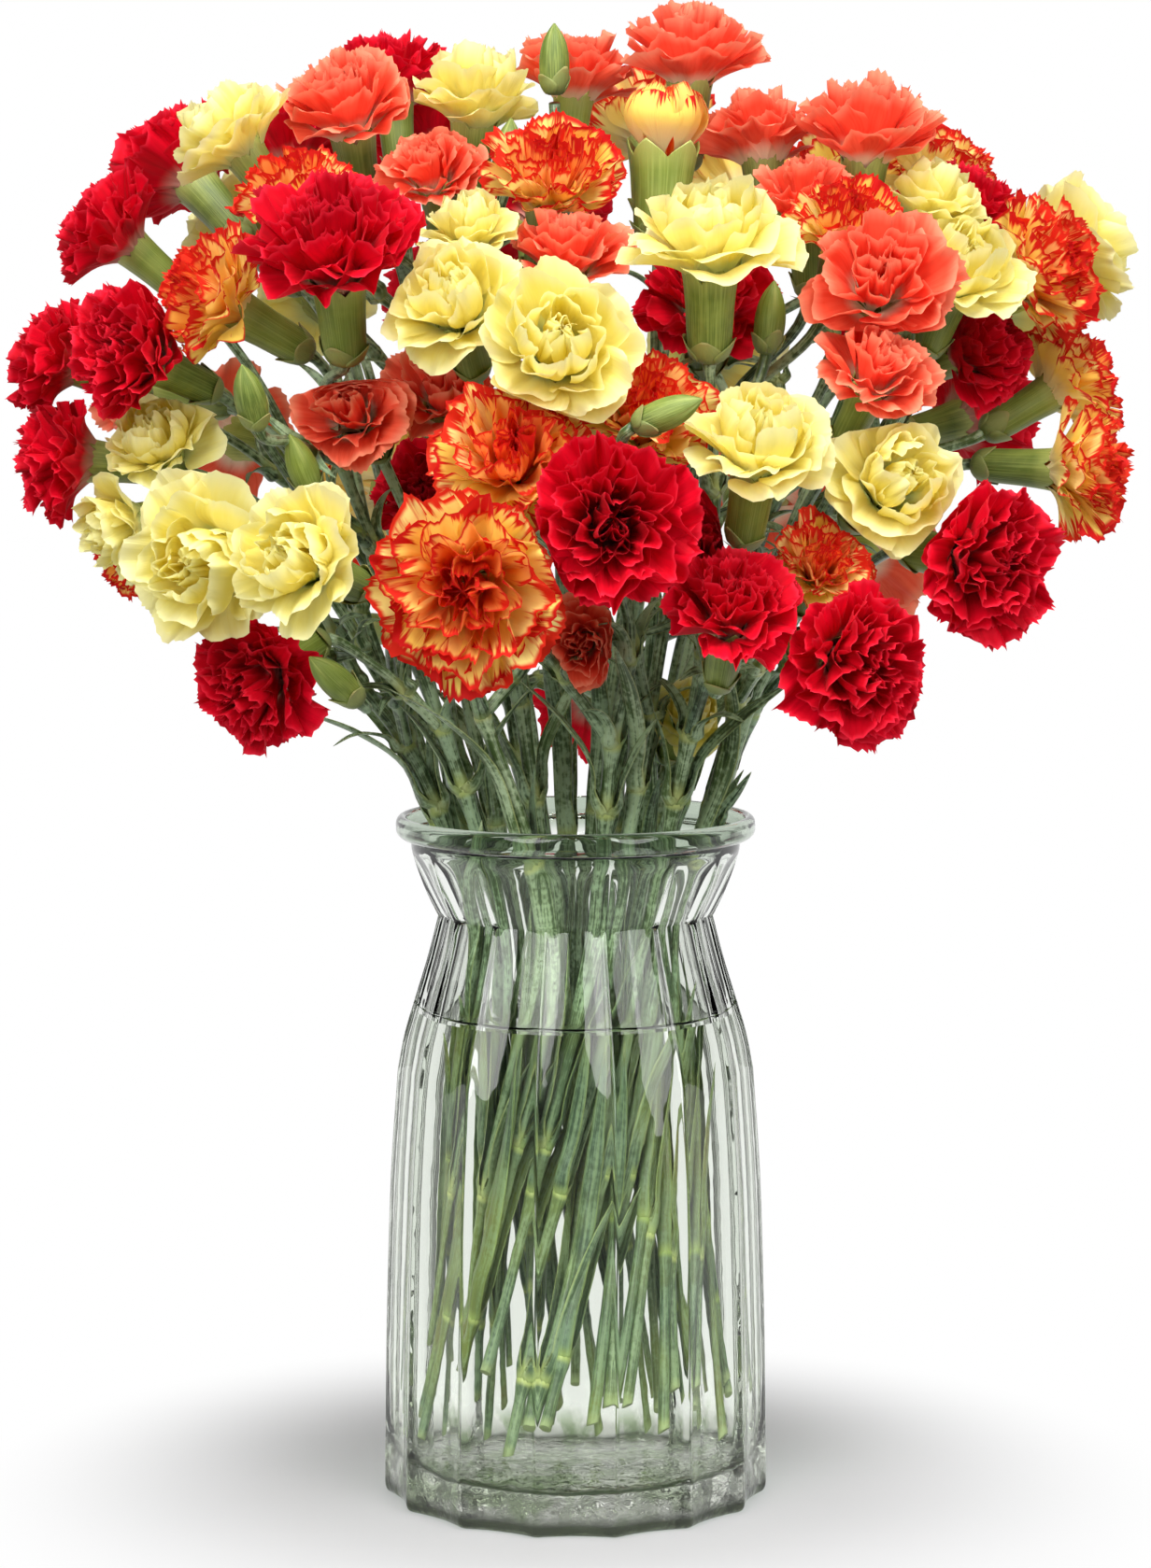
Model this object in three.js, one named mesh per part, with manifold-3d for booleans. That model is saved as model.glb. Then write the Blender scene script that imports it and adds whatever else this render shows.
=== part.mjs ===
// A bunch of spray carnations standing in water in a fluted clear glass vase.
// Millimetres, +Z up. The origin is the middle of the vase's flat base and -Y is the front.
// Every stem is a straight line that turns about the vase's axis, as stems do in a
// spiralled bunch, so that they lie close at the waist and never cut each other.
import * as THREE from 'three';
import { mergeVertices } from 'three/addons/utils/BufferGeometryUtils.js';
import Module from 'manifold-3d';

const wasm = await Module();
wasm.setup();

// ---- driving dimensions -------------------------------------------------------------

const TOUCH_GAP = 0.3;
const GRIDS = [1 / 32, 1 / 64, 1 / 128, 1 / 20, 1 / 50, 1 / 90];
const SMALLEST_DETAIL = 0.02;

const FLUTES = 15;
const FLUTE_DEPTH = 2.0;
const FLUTE_SAMPLES = 3;
const INNER_SIDES = 24;
const FLOOR_Z = 10;
const RIM_Z = 200;
const WATER_Z = 142;

// Outer radius at the ridges and how much of the flute depth is cut there, by height.
const VASE_OUTER = [
  { z: 0, r: 51.5, flute: 0 },
  { z: 1.6, r: 54.6, flute: 0.9 },
  { z: 5, r: 56.3, flute: 1 },
  { z: 56, r: 55.5, flute: 1 },
  { z: 126.4, r: 52, flute: 1 },
  { z: 147.6, r: 46.7, flute: 1 },
  { z: 171, r: 40.1, flute: 0.8 },
  { z: 180, r: 44.8, flute: 0.6 },
  { z: 190.5, r: 47.4, flute: 0 },
  { z: 193.6, r: 47.6, flute: 0 },
  { z: 194.6, r: 51.4, flute: 0 },
  { z: 197.4, r: 52.2, flute: 0 },
  { z: RIM_Z, r: 49.6, flute: 0 },
];
const VASE_INNER = [
  { z: FLOOR_Z, r: 44 },
  { z: 14, r: 50 },
  { z: 22, r: 51.4 },
  { z: 56, r: 50.8 },
  { z: 126, r: 47.4 },
  { z: 147.6, r: 42.2 },
  { z: 171, r: 36.4 },
  { z: 180, r: 40.4 },
  { z: 190, r: 43.6 },
  { z: RIM_Z, r: 45.2 },
];

const WAIST_Z = 115;
const TWIST_PER_MM = 0.0153;
const NECK_Z = 171;
const RIM_CLEARANCE = 0.7;
const OUTER_RING = { r: 31, slots: 12, first: -165 };
const MID_RING = { r: 18, slots: 4, first: -112 };
const PAIR_SPREAD = 2.0;

const STEM_R = 2.5;
const STEM_NODE_R = 3.4;
const STEM_NODE_HALF = 4;
const CUT_Z = { low: 14, high: 48 };
const NODE_Z = { low: 70, high: 120 };
const STRAND_SIDES = 4;
const WATER_CLEARANCE = 0.35;

const PEDICEL_R = 1.5;
const PEDICEL_ROOT_R = 1.2;
const SHOOT_LEAST_LENGTH = 28;
const SHOOT_LEAST_COSINE = 0.62;
const LEAF_LENGTH = { low: 44, high: 62 };
const LEAF_HALF_WIDTH = 3.2;
const LEAF_TIP_HALF_WIDTH = 0.9;
const LEAF_KEEL = 1.1;
const LEAF_PARTS = 3;

const CALYX_LENGTH = 24;
const CALYX_MOUTH_RATIO = 0.145;
const HEAD_DEPTH_RATIO = 0.2;
const SMALLEST_REACH = 1;
const CLUSTER_LEAN = 0.76;
const CLUSTER_LAP = 1.5;
const CLUSTER_REACH = 1.3;
const CELL_REACH = 1.3;
const FREE_SHARE = 0.86;
const STEM_STEP = 27;
const PEDICEL_STEP = 34;

const EASING_ROUNDS = 260;
const LAST_ROUNDS = 60;
const PAIR_ROUNDS = 20;
const PAIR_REACH = 16;
const FIRST_STIFFNESS = 0.3;
const LAST_STIFFNESS = 0.04;
const LONGEST_PUSH = 2.5;
const STRAND_MARGIN = 0.9;
const HEAD_CORE_RATIO = 0.55;
const BRIDGE_RADIUS = 22;

// ---- the bunch ----------------------------------------------------------------------

// A head is [cluster, x, y, z, facing x, y, z, width, form]: the middle of its petals,
// the way it faces, its width and how open it is. Heads of one cluster touch and are
// fused. A bud is [x, y, z, facing x, y, z]. Slots count round the rings from behind.
const SPRAYS = {
  bicolour_back_left: {
    ring: 'outer', slot: 0, side: -1,
    heads: [
      ['bicolour_back_left', -60, 106, 290, -0.4, 0.9, 0.05, 46, 'full'],
      ['bicolour_back_left', -29, 117, 272, -0.1, 0.95, 0, 43, 'full'],
    ],
    buds: [[-62, 96, 248, -0.5, 0.8, 0.2]],
  },
  red_back: {
    ring: 'outer', slot: 0, side: 1,
    heads: [
      ['red_top_left', -44, 70, 396, -0.2, 0.6, 0.8, 40, 'full'],
      ['red_top_left', -12, 92, 374, 0, 0.8, 0.6, 42, 'full'],
      ['red_top_left', -38, 104, 350, -0.25, 0.9, 0.35, 42, 'full'],
      ['red_back_low', 7, 92, 226, 0, 0.95, -0.1, 38, 'full'],
    ],
    buds: [],
  },
  coral_back_left: {
    ring: 'outer', slot: 1, side: -1,
    heads: [
      ['coral_back_left', -128, 46, 325, -0.85, 0.45, 0.25, 40, 'loose'],
      ['coral_back_left', -106, 76, 308, -0.6, 0.8, 0.1, 44, 'loose'],
    ],
    buds: [],
  },
  yellow_back_left: {
    ring: 'outer', slot: 1, side: 1,
    heads: [
      ['yellow_top_left', -96, -25, 394, -0.55, -0.05, 0.8, 40, 'loose'],
      ['yellow_back_left', -100, 60, 370, -0.6, 0.55, 0.55, 42, 'loose'],
      ['yellow_back_left', -80, 80, 352, -0.4, 0.8, 0.4, 42, 'loose'],
    ],
    buds: [],
  },
  red_left: {
    ring: 'outer', slot: 3, side: -1,
    heads: [
      ['red_left', -145, -28, 332, -0.85, -0.1, 0.4, 36, 'full'],
      ['red_left', -120, -55, 333, -0.65, -0.65, 0.35, 40, 'full'],
      ['red_left', -142, -32, 304, -0.95, -0.05, 0.1, 40, 'full'],
      ['red_top_left', -131, -5, 367, -0.75, -0.1, 0.65, 38, 'full'],
    ],
    buds: [],
  },
  bicolour_left: {
    ring: 'outer', slot: 2, side: 0,
    heads: [
      ['bicolour_left', -98, -60, 348, -0.75, -0.35, 0.45, 42, 'full'],
      ['bicolour_left', -77, -42, 376, -0.2, -0.3, 0.95, 36, 'full'],
      ['bicolour_low_left', -128, 8, 276, -0.7, 0, -0.3, 30, 'full'],
    ],
    buds: [],
  },
  yellow_left: {
    ring: 'outer', slot: 3, side: 1,
    heads: [
      ['yellow_front_left', -98, -88, 278, -0.45, -0.85, -0.05, 48, 'loose'],
      ['yellow_front_left', -72, -112, 280, -0.5, -0.75, 0.3, 40, 'loose'],
      ['yellow_left', -115, -46, 309, -0.25, -0.65, 0.7, 34, 'loose'],
      ['yellow_left', -126, -46, 286, -0.75, -0.35, -0.2, 32, 'loose'],
    ],
    buds: [[-64, -98, 247, -0.6, -0.4, 0.6]],
  },
  red_centre_left: {
    ring: 'outer', slot: 4, side: 0,
    heads: [
      ['red_upper_left', -64, -82, 360, -0.05, -0.5, 0.85, 50, 'full'],
      ['red_low_left', -86, -75, 245, -0.5, -0.75, -0.3, 40, 'full'],
      ['red_inner_left', -41, -20, 293, -0.2, -0.8, 0.4, 34, 'full'],
    ],
    buds: [
      [-86, -98, 322, -0.15, -0.5, 0.8],
      [-74, -72, 303, -0.3, -0.4, 0.85],
    ],
  },
  coral_left: {
    ring: 'outer', slot: 5, side: 0,
    heads: [
      ['coral_left', -61, -62, 318, -0.2, -0.8, 0.4, 38, 'loose'],
      ['coral_left', -36, -50, 322, 0, -0.7, 0.6, 36, 'loose'],
      ['coral_low', 2, -62, 254, -0.1, -0.8, -0.1, 28, 'loose'],
    ],
    buds: [],
  },
  bicolour_front: {
    ring: 'outer', slot: 6, side: -1,
    heads: [
      ['bicolour_front', -28, -126, 274, -0.05, -0.98, -0.08, 53, 'full'],
      ['bicolour_front', -16, -102, 306, 0, -0.85, 0.45, 46, 'full'],
      ['bicolour_front', 18, -88, 317, 0.1, -0.7, 0.6, 40, 'full'],
    ],
    buds: [[24, -118, 318, 0.85, -0.3, 0.35]],
  },
  red_centre: {
    ring: 'outer', slot: 6, side: 1,
    heads: [
      ['red_front', 9, -124, 290, 0.1, -0.97, 0.15, 45, 'full'],
      ['red_front', 41, -112, 266, 0.1, -0.65, 0.75, 37, 'full'],
      ['red_front', 33, -90, 281, 0, -0.8, 0.4, 34, 'full'],
      ['red_upper', 37, -38, 348, 0, -0.75, 0.6, 42, 'full'],
    ],
    buds: [],
  },
  yellow_front: {
    ring: 'outer', slot: 7, side: 0,
    heads: [
      ['yellow_upper', 36, -85, 363, 0, -0.35, 0.95, 50, 'loose'],
      ['yellow_front_right', 48, -108, 309, 0.1, -0.55, 0.8, 44, 'loose'],
      ['yellow_front_right', 86, -85, 298, 0.3, -0.8, 0.3, 43, 'loose'],
      ['yellow_low', 33, -25, 231, 0.2, -0.5, 0.4, 28, 'loose'],
    ],
    buds: [[53, -62, 343, 0.1, -0.1, 1]],
  },
  coral_right: {
    ring: 'outer', slot: 8, side: -1,
    heads: [
      ['coral_right', 82, -72, 352, 0.05, -0.85, 0.5, 45, 'loose'],
      ['coral_right', 81, -80, 328, 0.3, -0.6, 0.7, 36, 'loose'],
      ['bicolour_front_right', 66, -88, 277, 0.2, -0.75, 0.5, 30, 'full'],
    ],
    buds: [],
  },
  red_right: {
    ring: 'outer', slot: 9, side: -1,
    heads: [
      ['red_front', 73, -110, 252, 0.45, -0.85, -0.1, 43, 'full'],
      ['red_front', 109, -84, 278, 0.55, -0.8, -0.05, 45, 'full'],
      ['red_right', 114, -12, 335, 0.75, -0.55, 0.35, 38, 'full'],
      ['red_upper_right', 113, 22, 371, 0.4, 0.25, 0.85, 42, 'full'],
    ],
    buds: [],
  },
  yellow_right: {
    ring: 'outer', slot: 8, side: 1,
    heads: [
      ['yellow_right', 146, 25, 363, 0.8, 0.35, 0.35, 44, 'loose'],
      ['yellow_right', 128, 52, 350, 0.6, 0.65, 0.4, 42, 'loose'],
      ['yellow_top_right', 107, -34, 356, 0.25, -0.6, 0.75, 40, 'loose'],
      ['yellow_top_right', 100, -22, 376, 0.4, -0.2, 0.85, 34, 'loose'],
    ],
    buds: [],
  },
  bicolour_right: {
    ring: 'outer', slot: 9, side: 1,
    heads: [
      ['bicolour_right', 142, 5, 325, 0.75, 0.15, 0.45, 38, 'full'],
      ['bicolour_right', 142, -15, 300, 0.85, -0.35, -0.05, 40, 'full'],
      ['bicolour_right', 131, -10, 357, 0.85, -0.5, 0.35, 45, 'full'],
    ],
    buds: [],
  },
  red_back_right: {
    ring: 'outer', slot: 10, side: -1,
    heads: [
      ['red_back_right', 96, 84, 336, 0.5, 0.8, 0.35, 44, 'full'],
      ['red_back_right', 120, 62, 314, 0.8, 0.55, 0.2, 42, 'full'],
    ],
    buds: [],
  },
  coral_back_right: {
    ring: 'outer', slot: 10, side: 1,
    heads: [
      ['coral_back_right', 62, 108, 290, 0.4, 0.9, 0.05, 44, 'loose'],
      ['coral_back_right', 92, 86, 272, 0.65, 0.75, -0.1, 42, 'loose'],
    ],
    buds: [],
  },
  yellow_back: {
    ring: 'outer', slot: 11, side: 0,
    heads: [
      ['yellow_back', 42, 116, 334, 0.25, 0.9, 0.3, 44, 'loose'],
      ['yellow_back', 8, 124, 314, 0, 0.98, 0.1, 46, 'loose'],
    ],
    buds: [[22, 108, 268, 0.2, 0.8, 0.5]],
  },
  red_top_left: {
    ring: 'mid', slot: 0, side: 0,
    heads: [
      ['red_top_left', -114, 22, 386, -0.6, 0.4, 0.65, 44, 'full'],
      ['red_top_left', -85, 34, 392, -0.2, 0.4, 0.9, 38, 'full'],
      ['red_top_left', -54, 38, 412, -0.1, 0.3, 0.95, 38, 'full'],
    ],
    buds: [],
  },
  yellow_centre: {
    ring: 'mid', slot: 1, side: 0,
    heads: [
      ['yellow_centre', -32, -90, 347, -0.15, -0.75, 0.6, 42, 'loose'],
      ['yellow_centre', -5, -104, 335, 0.1, -0.9, 0.4, 46, 'loose'],
      ['yellow_centre', -29, -64, 367, -0.1, -0.3, 0.95, 30, 'loose'],
      ['yellow_top', -28, -10, 405, 0.1, -0.1, 1, 44, 'loose'],
    ],
    buds: [[-19, -20, 389, 0.1, 0, 1]],
  },
  bicolour_top: {
    ring: 'mid', slot: 2, side: 0,
    heads: [
      ['bicolour_upper', -7, -42, 380, 0.1, -0.55, 0.8, 41, 'full'],
      ['bicolour_half_open', 25, -30, 397, 0.05, -0.05, 1, 25, 'half'],
      ['bicolour_upper_right', 74, -52, 367, 0.2, -0.5, 0.85, 36, 'full'],
    ],
    buds: [],
  },
  coral_top: {
    ring: 'centre', slot: 0, side: 1,
    heads: [
      ['coral_top', 33, 5, 417, 0.05, -0.15, 1, 43, 'loose'],
      ['coral_top', 53, -2, 394, -0.05, 0.1, 1, 40, 'loose'],
      ['coral_top', 82, -20, 394, 0.1, -0.15, 1, 44, 'loose'],
      ['coral_top', 64, -32, 376, -0.05, -0.3, 0.95, 36, 'loose'],
    ],
    buds: [],
  },
  bicolour_back_right: {
    ring: 'mid', slot: 3, side: 0,
    heads: [
      ['bicolour_back', 109, 45, 386, 0.5, 0.3, 0.8, 34, 'full'],
      ['bicolour_back', 22, 74, 402, 0, 0.45, 0.9, 42, 'full'],
      ['bicolour_back', 54, 84, 382, 0.2, 0.75, 0.6, 42, 'full'],
      ['bicolour_back', 84, 66, 384, 0.35, 0.55, 0.75, 42, 'full'],
    ],
    buds: [],
  },
  coral_top_left: {
    ring: 'centre', slot: 0, side: -1,
    heads: [
      ['coral_top_left', -64, -12, 402, -0.1, -0.45, 0.85, 44, 'loose'],
      ['coral_top_left', -40, -26, 384, -0.1, -0.6, 0.8, 32, 'loose'],
      ['coral_top', 0, 14, 412, 0.1, 0.1, 1, 38, 'loose'],
      ['coral_centre', -2, -58, 360, 0.05, -0.35, 0.95, 36, 'loose'],
    ],
    buds: [[-6, -10, 416, 0, 0, 1]],
  },
};

// ---- finishes -----------------------------------------------------------------------

const FINISHES = {
  glass: { color: 0xdfe9e0, roughness: 0.05, metalness: 0, transparent: true, opacity: 0.35 },
  water: { color: 0xe4efe8, roughness: 0.05, metalness: 0, transparent: true, opacity: 0.3 },
  stem: { color: 0x5e8a52, roughness: 0.6, metalness: 0 },
  red: { color: 0xb3101a, roughness: 0.7, metalness: 0 },
  yellow: { color: 0xf2e276, roughness: 0.7, metalness: 0 },
  coral: { color: 0xe8523a, roughness: 0.7, metalness: 0 },
  bicolour: { color: 0xf08a2c, roughness: 0.7, metalness: 0 },
};

function finish(name) {
  return new THREE.MeshStandardMaterial(FINISHES[name]);
}

// ---- small helpers ------------------------------------------------------------------

const vec = (x, y, z) => new THREE.Vector3(x, y, z);

// A repeatable random draw between 0 and 1 from a whole-number seed.
function draw(seed) {
  let bits = Math.imul(seed + 1, 0x9e3779b1) >>> 0;
  bits = Math.imul(bits ^ (bits >>> 15), 0x85ebca6b) >>> 0;
  bits = Math.imul(bits ^ (bits >>> 13), 0xc2b2ae35) >>> 0;
  return ((bits ^ (bits >>> 16)) >>> 0) / 4294967296;
}

// Two unit vectors square to a direction, so that first x second = direction.
function crossFrame(direction) {
  const helper = Math.abs(direction.z) < 0.9 ? vec(0, 0, 1) : vec(1, 0, 0);
  const first = helper.cross(direction).normalize();
  const second = direction.clone().cross(first);
  return [first, second];
}

// A closed geometry through rings of points that turn anticlockwise about the way
// they are stacked. Each end is closed flat, or to a tip point where one is given.
function ringGeometry(rings, startTip, endTip) {
  const count = rings[0].length;
  const points = rings.flat();
  const faces = [];
  for (let i = 0; i < rings.length - 1; i += 1) {
    for (let j = 0; j < count; j += 1) {
      const a = i * count + j;
      const b = i * count + (j + 1) % count;
      faces.push(a, b, b + count, a, b + count, a + count);
    }
  }
  closeEnd(points, faces, 0, count, startTip, true);
  closeEnd(points, faces, (rings.length - 1) * count, count, endTip, false);
  const geometry = new THREE.BufferGeometry().setFromPoints(points);
  geometry.setIndex(faces);
  return geometry;
}

function closeEnd(points, faces, first, count, tip, flip) {
  const fan = (a, b, c) => (flip ? faces.push(a, c, b) : faces.push(a, b, c));
  if (!tip) {
    for (let j = 1; j < count - 1; j += 1) fan(first, first + j, first + j + 1);
    return;
  }
  const apex = points.push(tip) - 1;
  for (let j = 0; j < count; j += 1) fan(apex, first + j, first + (j + 1) % count);
}

function toSolid(geometry) {
  const vertProperties = new Float32Array(geometry.attributes.position.array);
  const triVerts = new Uint32Array(geometry.index.array);
  return new wasm.Manifold(new wasm.Mesh({ numProp: 3, vertProperties, triVerts }));
}

function toGeometry(solid) {
  const { vertProperties, triVerts } = solid.getMesh();
  const geometry = new THREE.BufferGeometry();
  geometry.setAttribute('position', new THREE.BufferAttribute(vertProperties, 3));
  geometry.setIndex(new THREE.BufferAttribute(triVerts, 1));
  return geometry;
}

function largestBody(solid) {
  const bodies = solid.decompose();
  bodies.sort((a, b) => b.volume() - a.volume());
  return bodies[0];
}

// The surface with its points on a grid and its collapsed faces gone, or null where that
// makes two sheets of it share an edge.
function snapped(solid, grid) {
  const geometry = toGeometry(solid);
  const places = geometry.attributes.position.array;
  places.forEach((value, i) => {
    places[i] = Math.round(value / grid) * grid;
  });
  const merged = mergeVertices(geometry, grid / 8);
  const corners = merged.index.array;
  const faces = [];
  const edges = new Set();
  for (let i = 0; i < corners.length; i += 3) {
    const [a, b, c] = corners.slice(i, i + 3);
    if (a === b || b === c || c === a) continue;
    faces.push(a, b, c);
    [`${a} ${b}`, `${b} ${c}`, `${c} ${a}`].forEach((edge) => edges.add(edge));
  }
  if (edges.size < faces.length) return null;
  merged.setIndex(faces);
  return toSolid(merged).decompose().length === 1 ? merged : null;
}

// Joins solids that touch into one body. A pocket or scrap that the join leaves is
// dropped, and the points go on the first grid that keeps the surface sound.
function fuse(solids) {
  const joined = largestBody(wasm.Manifold.union(solids)).simplify(SMALLEST_DETAIL);
  for (const grid of GRIDS) {
    const surface = snapped(joined, grid);
    if (surface) return surface;
  }
  throw new Error('no grid keeps the surface sound');
}

function toMesh(name, surface, finishName) {
  const mesh = new THREE.Mesh(surface, finish(finishName));
  mesh.name = name;
  return mesh;
}

// ---- the vase and its water ---------------------------------------------------------

// Ridges stand at even steps, with the middle of one flute to the front.
function flutedRing({ z, r, flute }) {
  const count = FLUTES * FLUTE_SAMPLES;
  const ring = [];
  for (let i = 0; i < count; i += 1) {
    const angle = -Math.PI / 2 + (Math.PI * (2 * i + FLUTE_SAMPLES)) / count;
    const radius = i % FLUTE_SAMPLES === 0 ? r : r - FLUTE_DEPTH * flute;
    ring.push(vec(radius * Math.cos(angle), radius * Math.sin(angle), z));
  }
  return ring;
}

function roundRing(r, z, sides) {
  const ring = [];
  for (let i = 0; i < sides; i += 1) {
    const angle = (2 * Math.PI * i) / sides;
    ring.push(vec(r * Math.cos(angle), r * Math.sin(angle), z));
  }
  return ring;
}

function innerRadius(z) {
  const above = VASE_INNER.findIndex((station) => station.z >= z);
  if (above < 0) return VASE_INNER.at(-1).r;
  if (above === 0) return VASE_INNER[0].r;
  const low = VASE_INNER[above - 1];
  const high = VASE_INNER[above];
  return low.r + ((high.r - low.r) * (z - low.z)) / (high.z - low.z);
}

function vaseSurface() {
  const outer = toSolid(ringGeometry(VASE_OUTER.map(flutedRing)));
  const stations = [...VASE_INNER, { z: RIM_Z + 1, r: VASE_INNER.at(-1).r }];
  const rings = stations.map(({ z, r }) => roundRing(r, z, INNER_SIDES));
  return fuse([outer.subtract(toSolid(ringGeometry(rings)))]);
}

// The water fills the vase to its level, 0.3 mm off the glass, with a hole for every stem.
function waterSurface(holes) {
  const wet = VASE_INNER.filter(({ z }) => z < WATER_Z);
  const stations = [...wet, { z: WATER_Z, r: innerRadius(WATER_Z) }];
  const rings = stations.map(({ z, r }, i) => {
    const height = i === 0 ? z + TOUCH_GAP : z;
    return roundRing(r - TOUCH_GAP, height, INNER_SIDES);
  });
  const full = toSolid(ringGeometry(rings));
  return fuse([full.subtract(wasm.Manifold.union(holes))]);
}

// ---- heads --------------------------------------------------------------------------

function readHead([cluster, x, y, z, fx, fy, fz, width, form], seed) {
  const axis = vec(fx, fy, fz).normalize();
  const centre = vec(x, y, z);
  const radius = width / 2;
  const half = form === 'half';
  const depth = half ? radius * 0.75 : width * HEAD_DEPTH_RATIO;
  const mouth = half ? radius * 0.72 : width * CALYX_MOUTH_RATIO;
  const length = half ? CALYX_LENGTH : CALYX_LENGTH * Math.min(1, 0.35 + width / 68);
  return { cluster, centre, axis, radius, form, depth, mouth, length, seed };
}

function readBud([x, y, z, fx, fy, fz], seed) {
  const axis = vec(fx, fy, fz).normalize();
  return { centre: vec(x, y, z), axis, depth: 0, mouth: 4.2, length: 20, seed, bud: true };
}

// Rings of a head by polar angle from the way it faces and by distance from its middle,
// both for the middle of a petal and for the notch between two. Angles only fall from
// ring to ring, so the surface never folds over itself.
const PETAL_RINGS = {
  loose: {
    petals: 5,
    rings: [
      { angle: 143, r: 0.5, notch: 0.5, dip: 0 },
      { angle: 97, r: 1.04, notch: 0.84, dip: 7 },
      { angle: 81, r: 0.66, notch: 0.66, dip: 0 },
      { angle: 58, r: 0.84, notch: 0.98, dip: -8 },
      { angle: 42, r: 0.52, notch: 0.52, dip: 0 },
      { angle: 24, r: 0.8, notch: 0.66, dip: 5 },
    ],
    pole: 0.4,
  },
  full: {
    petals: 6,
    rings: [
      { angle: 143, r: 0.5, notch: 0.5, dip: 0 },
      { angle: 98, r: 1.04, notch: 0.88, dip: 8 },
      { angle: 80, r: 0.72, notch: 0.72, dip: 0 },
      { angle: 58, r: 0.86, notch: 1.0, dip: -8 },
      { angle: 42, r: 0.58, notch: 0.58, dip: 0 },
      { angle: 24, r: 0.86, notch: 0.72, dip: 6 },
    ],
    pole: 0.48,
  },
  half: {
    petals: 5,
    rings: [
      { angle: 139, r: 1.0, notch: 1.0, dip: 0 },
      { angle: 62, r: 1.18, notch: 1.0, dip: 6 },
      { angle: 46, r: 0.7, notch: 0.7, dip: 0 },
      { angle: 28, r: 0.95, notch: 0.8, dip: 4 },
    ],
    pole: 0.55,
  },
};
const THREE_LAYER_RADIUS = 24;
const FEWER_PETALS_RADIUS = 21;

// How far a ray from the head's middle may go before it meets a wall of its cell.
function reach(direction, cell) {
  let limit = Infinity;
  for (const { normal, offset } of cell) {
    const along = normal.dot(direction);
    if (along > 1e-6) limit = Math.min(limit, offset / along);
  }
  return Math.max(limit, SMALLEST_REACH);
}

// Petals that come near a wall are pressed back from it, more the further they would go.
function pressed(wanted, limit) {
  const free = FREE_SHARE * limit;
  if (wanted <= free) return wanted;
  const room = limit - free;
  return free + room * (1 - Math.exp((free - wanted) / room));
}

// Heads of one cluster lean on each other: their petals are drawn out to just past the
// middle of the way to a neighbour.
function drawnOut(wanted, direction, neighbours) {
  let length = wanted;
  for (const { towards, halfway } of neighbours) {
    const share = towards.dot(direction);
    if (share > CLUSTER_LEAN) length = Math.max(length, (halfway + CLUSTER_LAP) / share);
  }
  return length;
}

function neighboursOf(head, heads) {
  const neighbours = [];
  for (const other of heads) {
    if (other === head || other.cluster !== head.cluster) continue;
    const towards = other.centre.clone().sub(head.centre);
    const distance = towards.length();
    if (distance > CLUSTER_REACH * (head.radius + other.radius)) continue;
    const halfway = (distance * head.radius) / (head.radius + other.radius);
    neighbours.push({ towards: towards.divideScalar(distance), halfway });
  }
  return neighbours;
}

function headSolid(head, heads, cell) {
  const neighbours = neighboursOf(head, heads);
  const { rings, pole } = PETAL_RINGS[head.form];
  const petals = head.radius < FEWER_PETALS_RADIUS ? 5 : PETAL_RINGS[head.form].petals;
  const used = head.form !== 'half' && head.radius < THREE_LAYER_RADIUS ? 4 : rings.length;
  const [side, up] = crossFrame(head.axis);
  const count = 2 * petals;
  const turn = draw(head.seed) * Math.PI;
  const point = (angle, azimuth, r) => {
    const direction = side.clone().multiplyScalar(Math.sin(angle) * Math.cos(azimuth));
    direction.addScaledVector(up, Math.sin(angle) * Math.sin(azimuth));
    direction.addScaledVector(head.axis, Math.cos(angle));
    const wanted = drawnOut(r * head.radius, direction, neighbours);
    const length = pressed(wanted, reach(direction, cell));
    return head.centre.clone().addScaledVector(direction, length);
  };
  const rows = rings.slice(0, used).map((ring, k) => {
    const row = [];
    for (let j = 0; j < count; j += 1) {
      const atNotch = j % 2 === 1;
      const chance = draw(head.seed * 97 + k * 31 + j) - 0.5;
      const angle = ring.angle + (atNotch ? ring.dip : -ring.dip) + (k > 0 ? 5 * chance : 0);
      const r = (atNotch ? ring.notch : ring.r) * (k > 0 ? 1 + 0.12 * chance : 1);
      row.push(point((angle * Math.PI) / 180, turn + (Math.PI * j) / petals, r));
    }
    return row;
  });
  const top = point(0, 0, used < rings.length && head.form !== 'half' ? pole + 0.12 : pole);
  return toSolid(ringGeometry(rows, undefined, top));
}

// ---- stems, pedicels and leaves -----------------------------------------------------

// A strand is a chain of points with a radius at each. A point that is fixed stays where
// it is while the strands are eased apart; a side shoot shares its first with its stem.
const knot = (place, radius, fixed) => ({ place, radius, fixed, push: vec(0, 0, 0) });
const between = ({ low, high }, share) => low + (high - low) * share;

function neckPlace({ ring, slot, side }) {
  if (ring === 'centre') return new THREE.Vector2(side * PAIR_SPREAD, 0);
  const { r, slots, first } = ring === 'outer' ? OUTER_RING : MID_RING;
  const angle = ((first + (360 * slot) / slots) * Math.PI) / 180;
  const spread = side * PAIR_SPREAD;
  const x = r * Math.sin(angle) + spread * Math.cos(angle);
  const y = -r * Math.cos(angle) + spread * Math.sin(angle);
  return new THREE.Vector2(x, y);
}

// Where the straight stem that passes the neck at a place is at another height.
function stemAt(neck, z) {
  const turnNeck = TWIST_PER_MM * (NECK_Z - WAIST_Z);
  const turn = TWIST_PER_MM * (z - WAIST_Z);
  const shrink = 1 + turnNeck * turnNeck;
  const x = (neck.x + turnNeck * neck.y) / shrink;
  const y = (neck.y - turnNeck * neck.x) / shrink;
  return vec(x - turn * y, y + turn * x, z);
}

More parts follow.
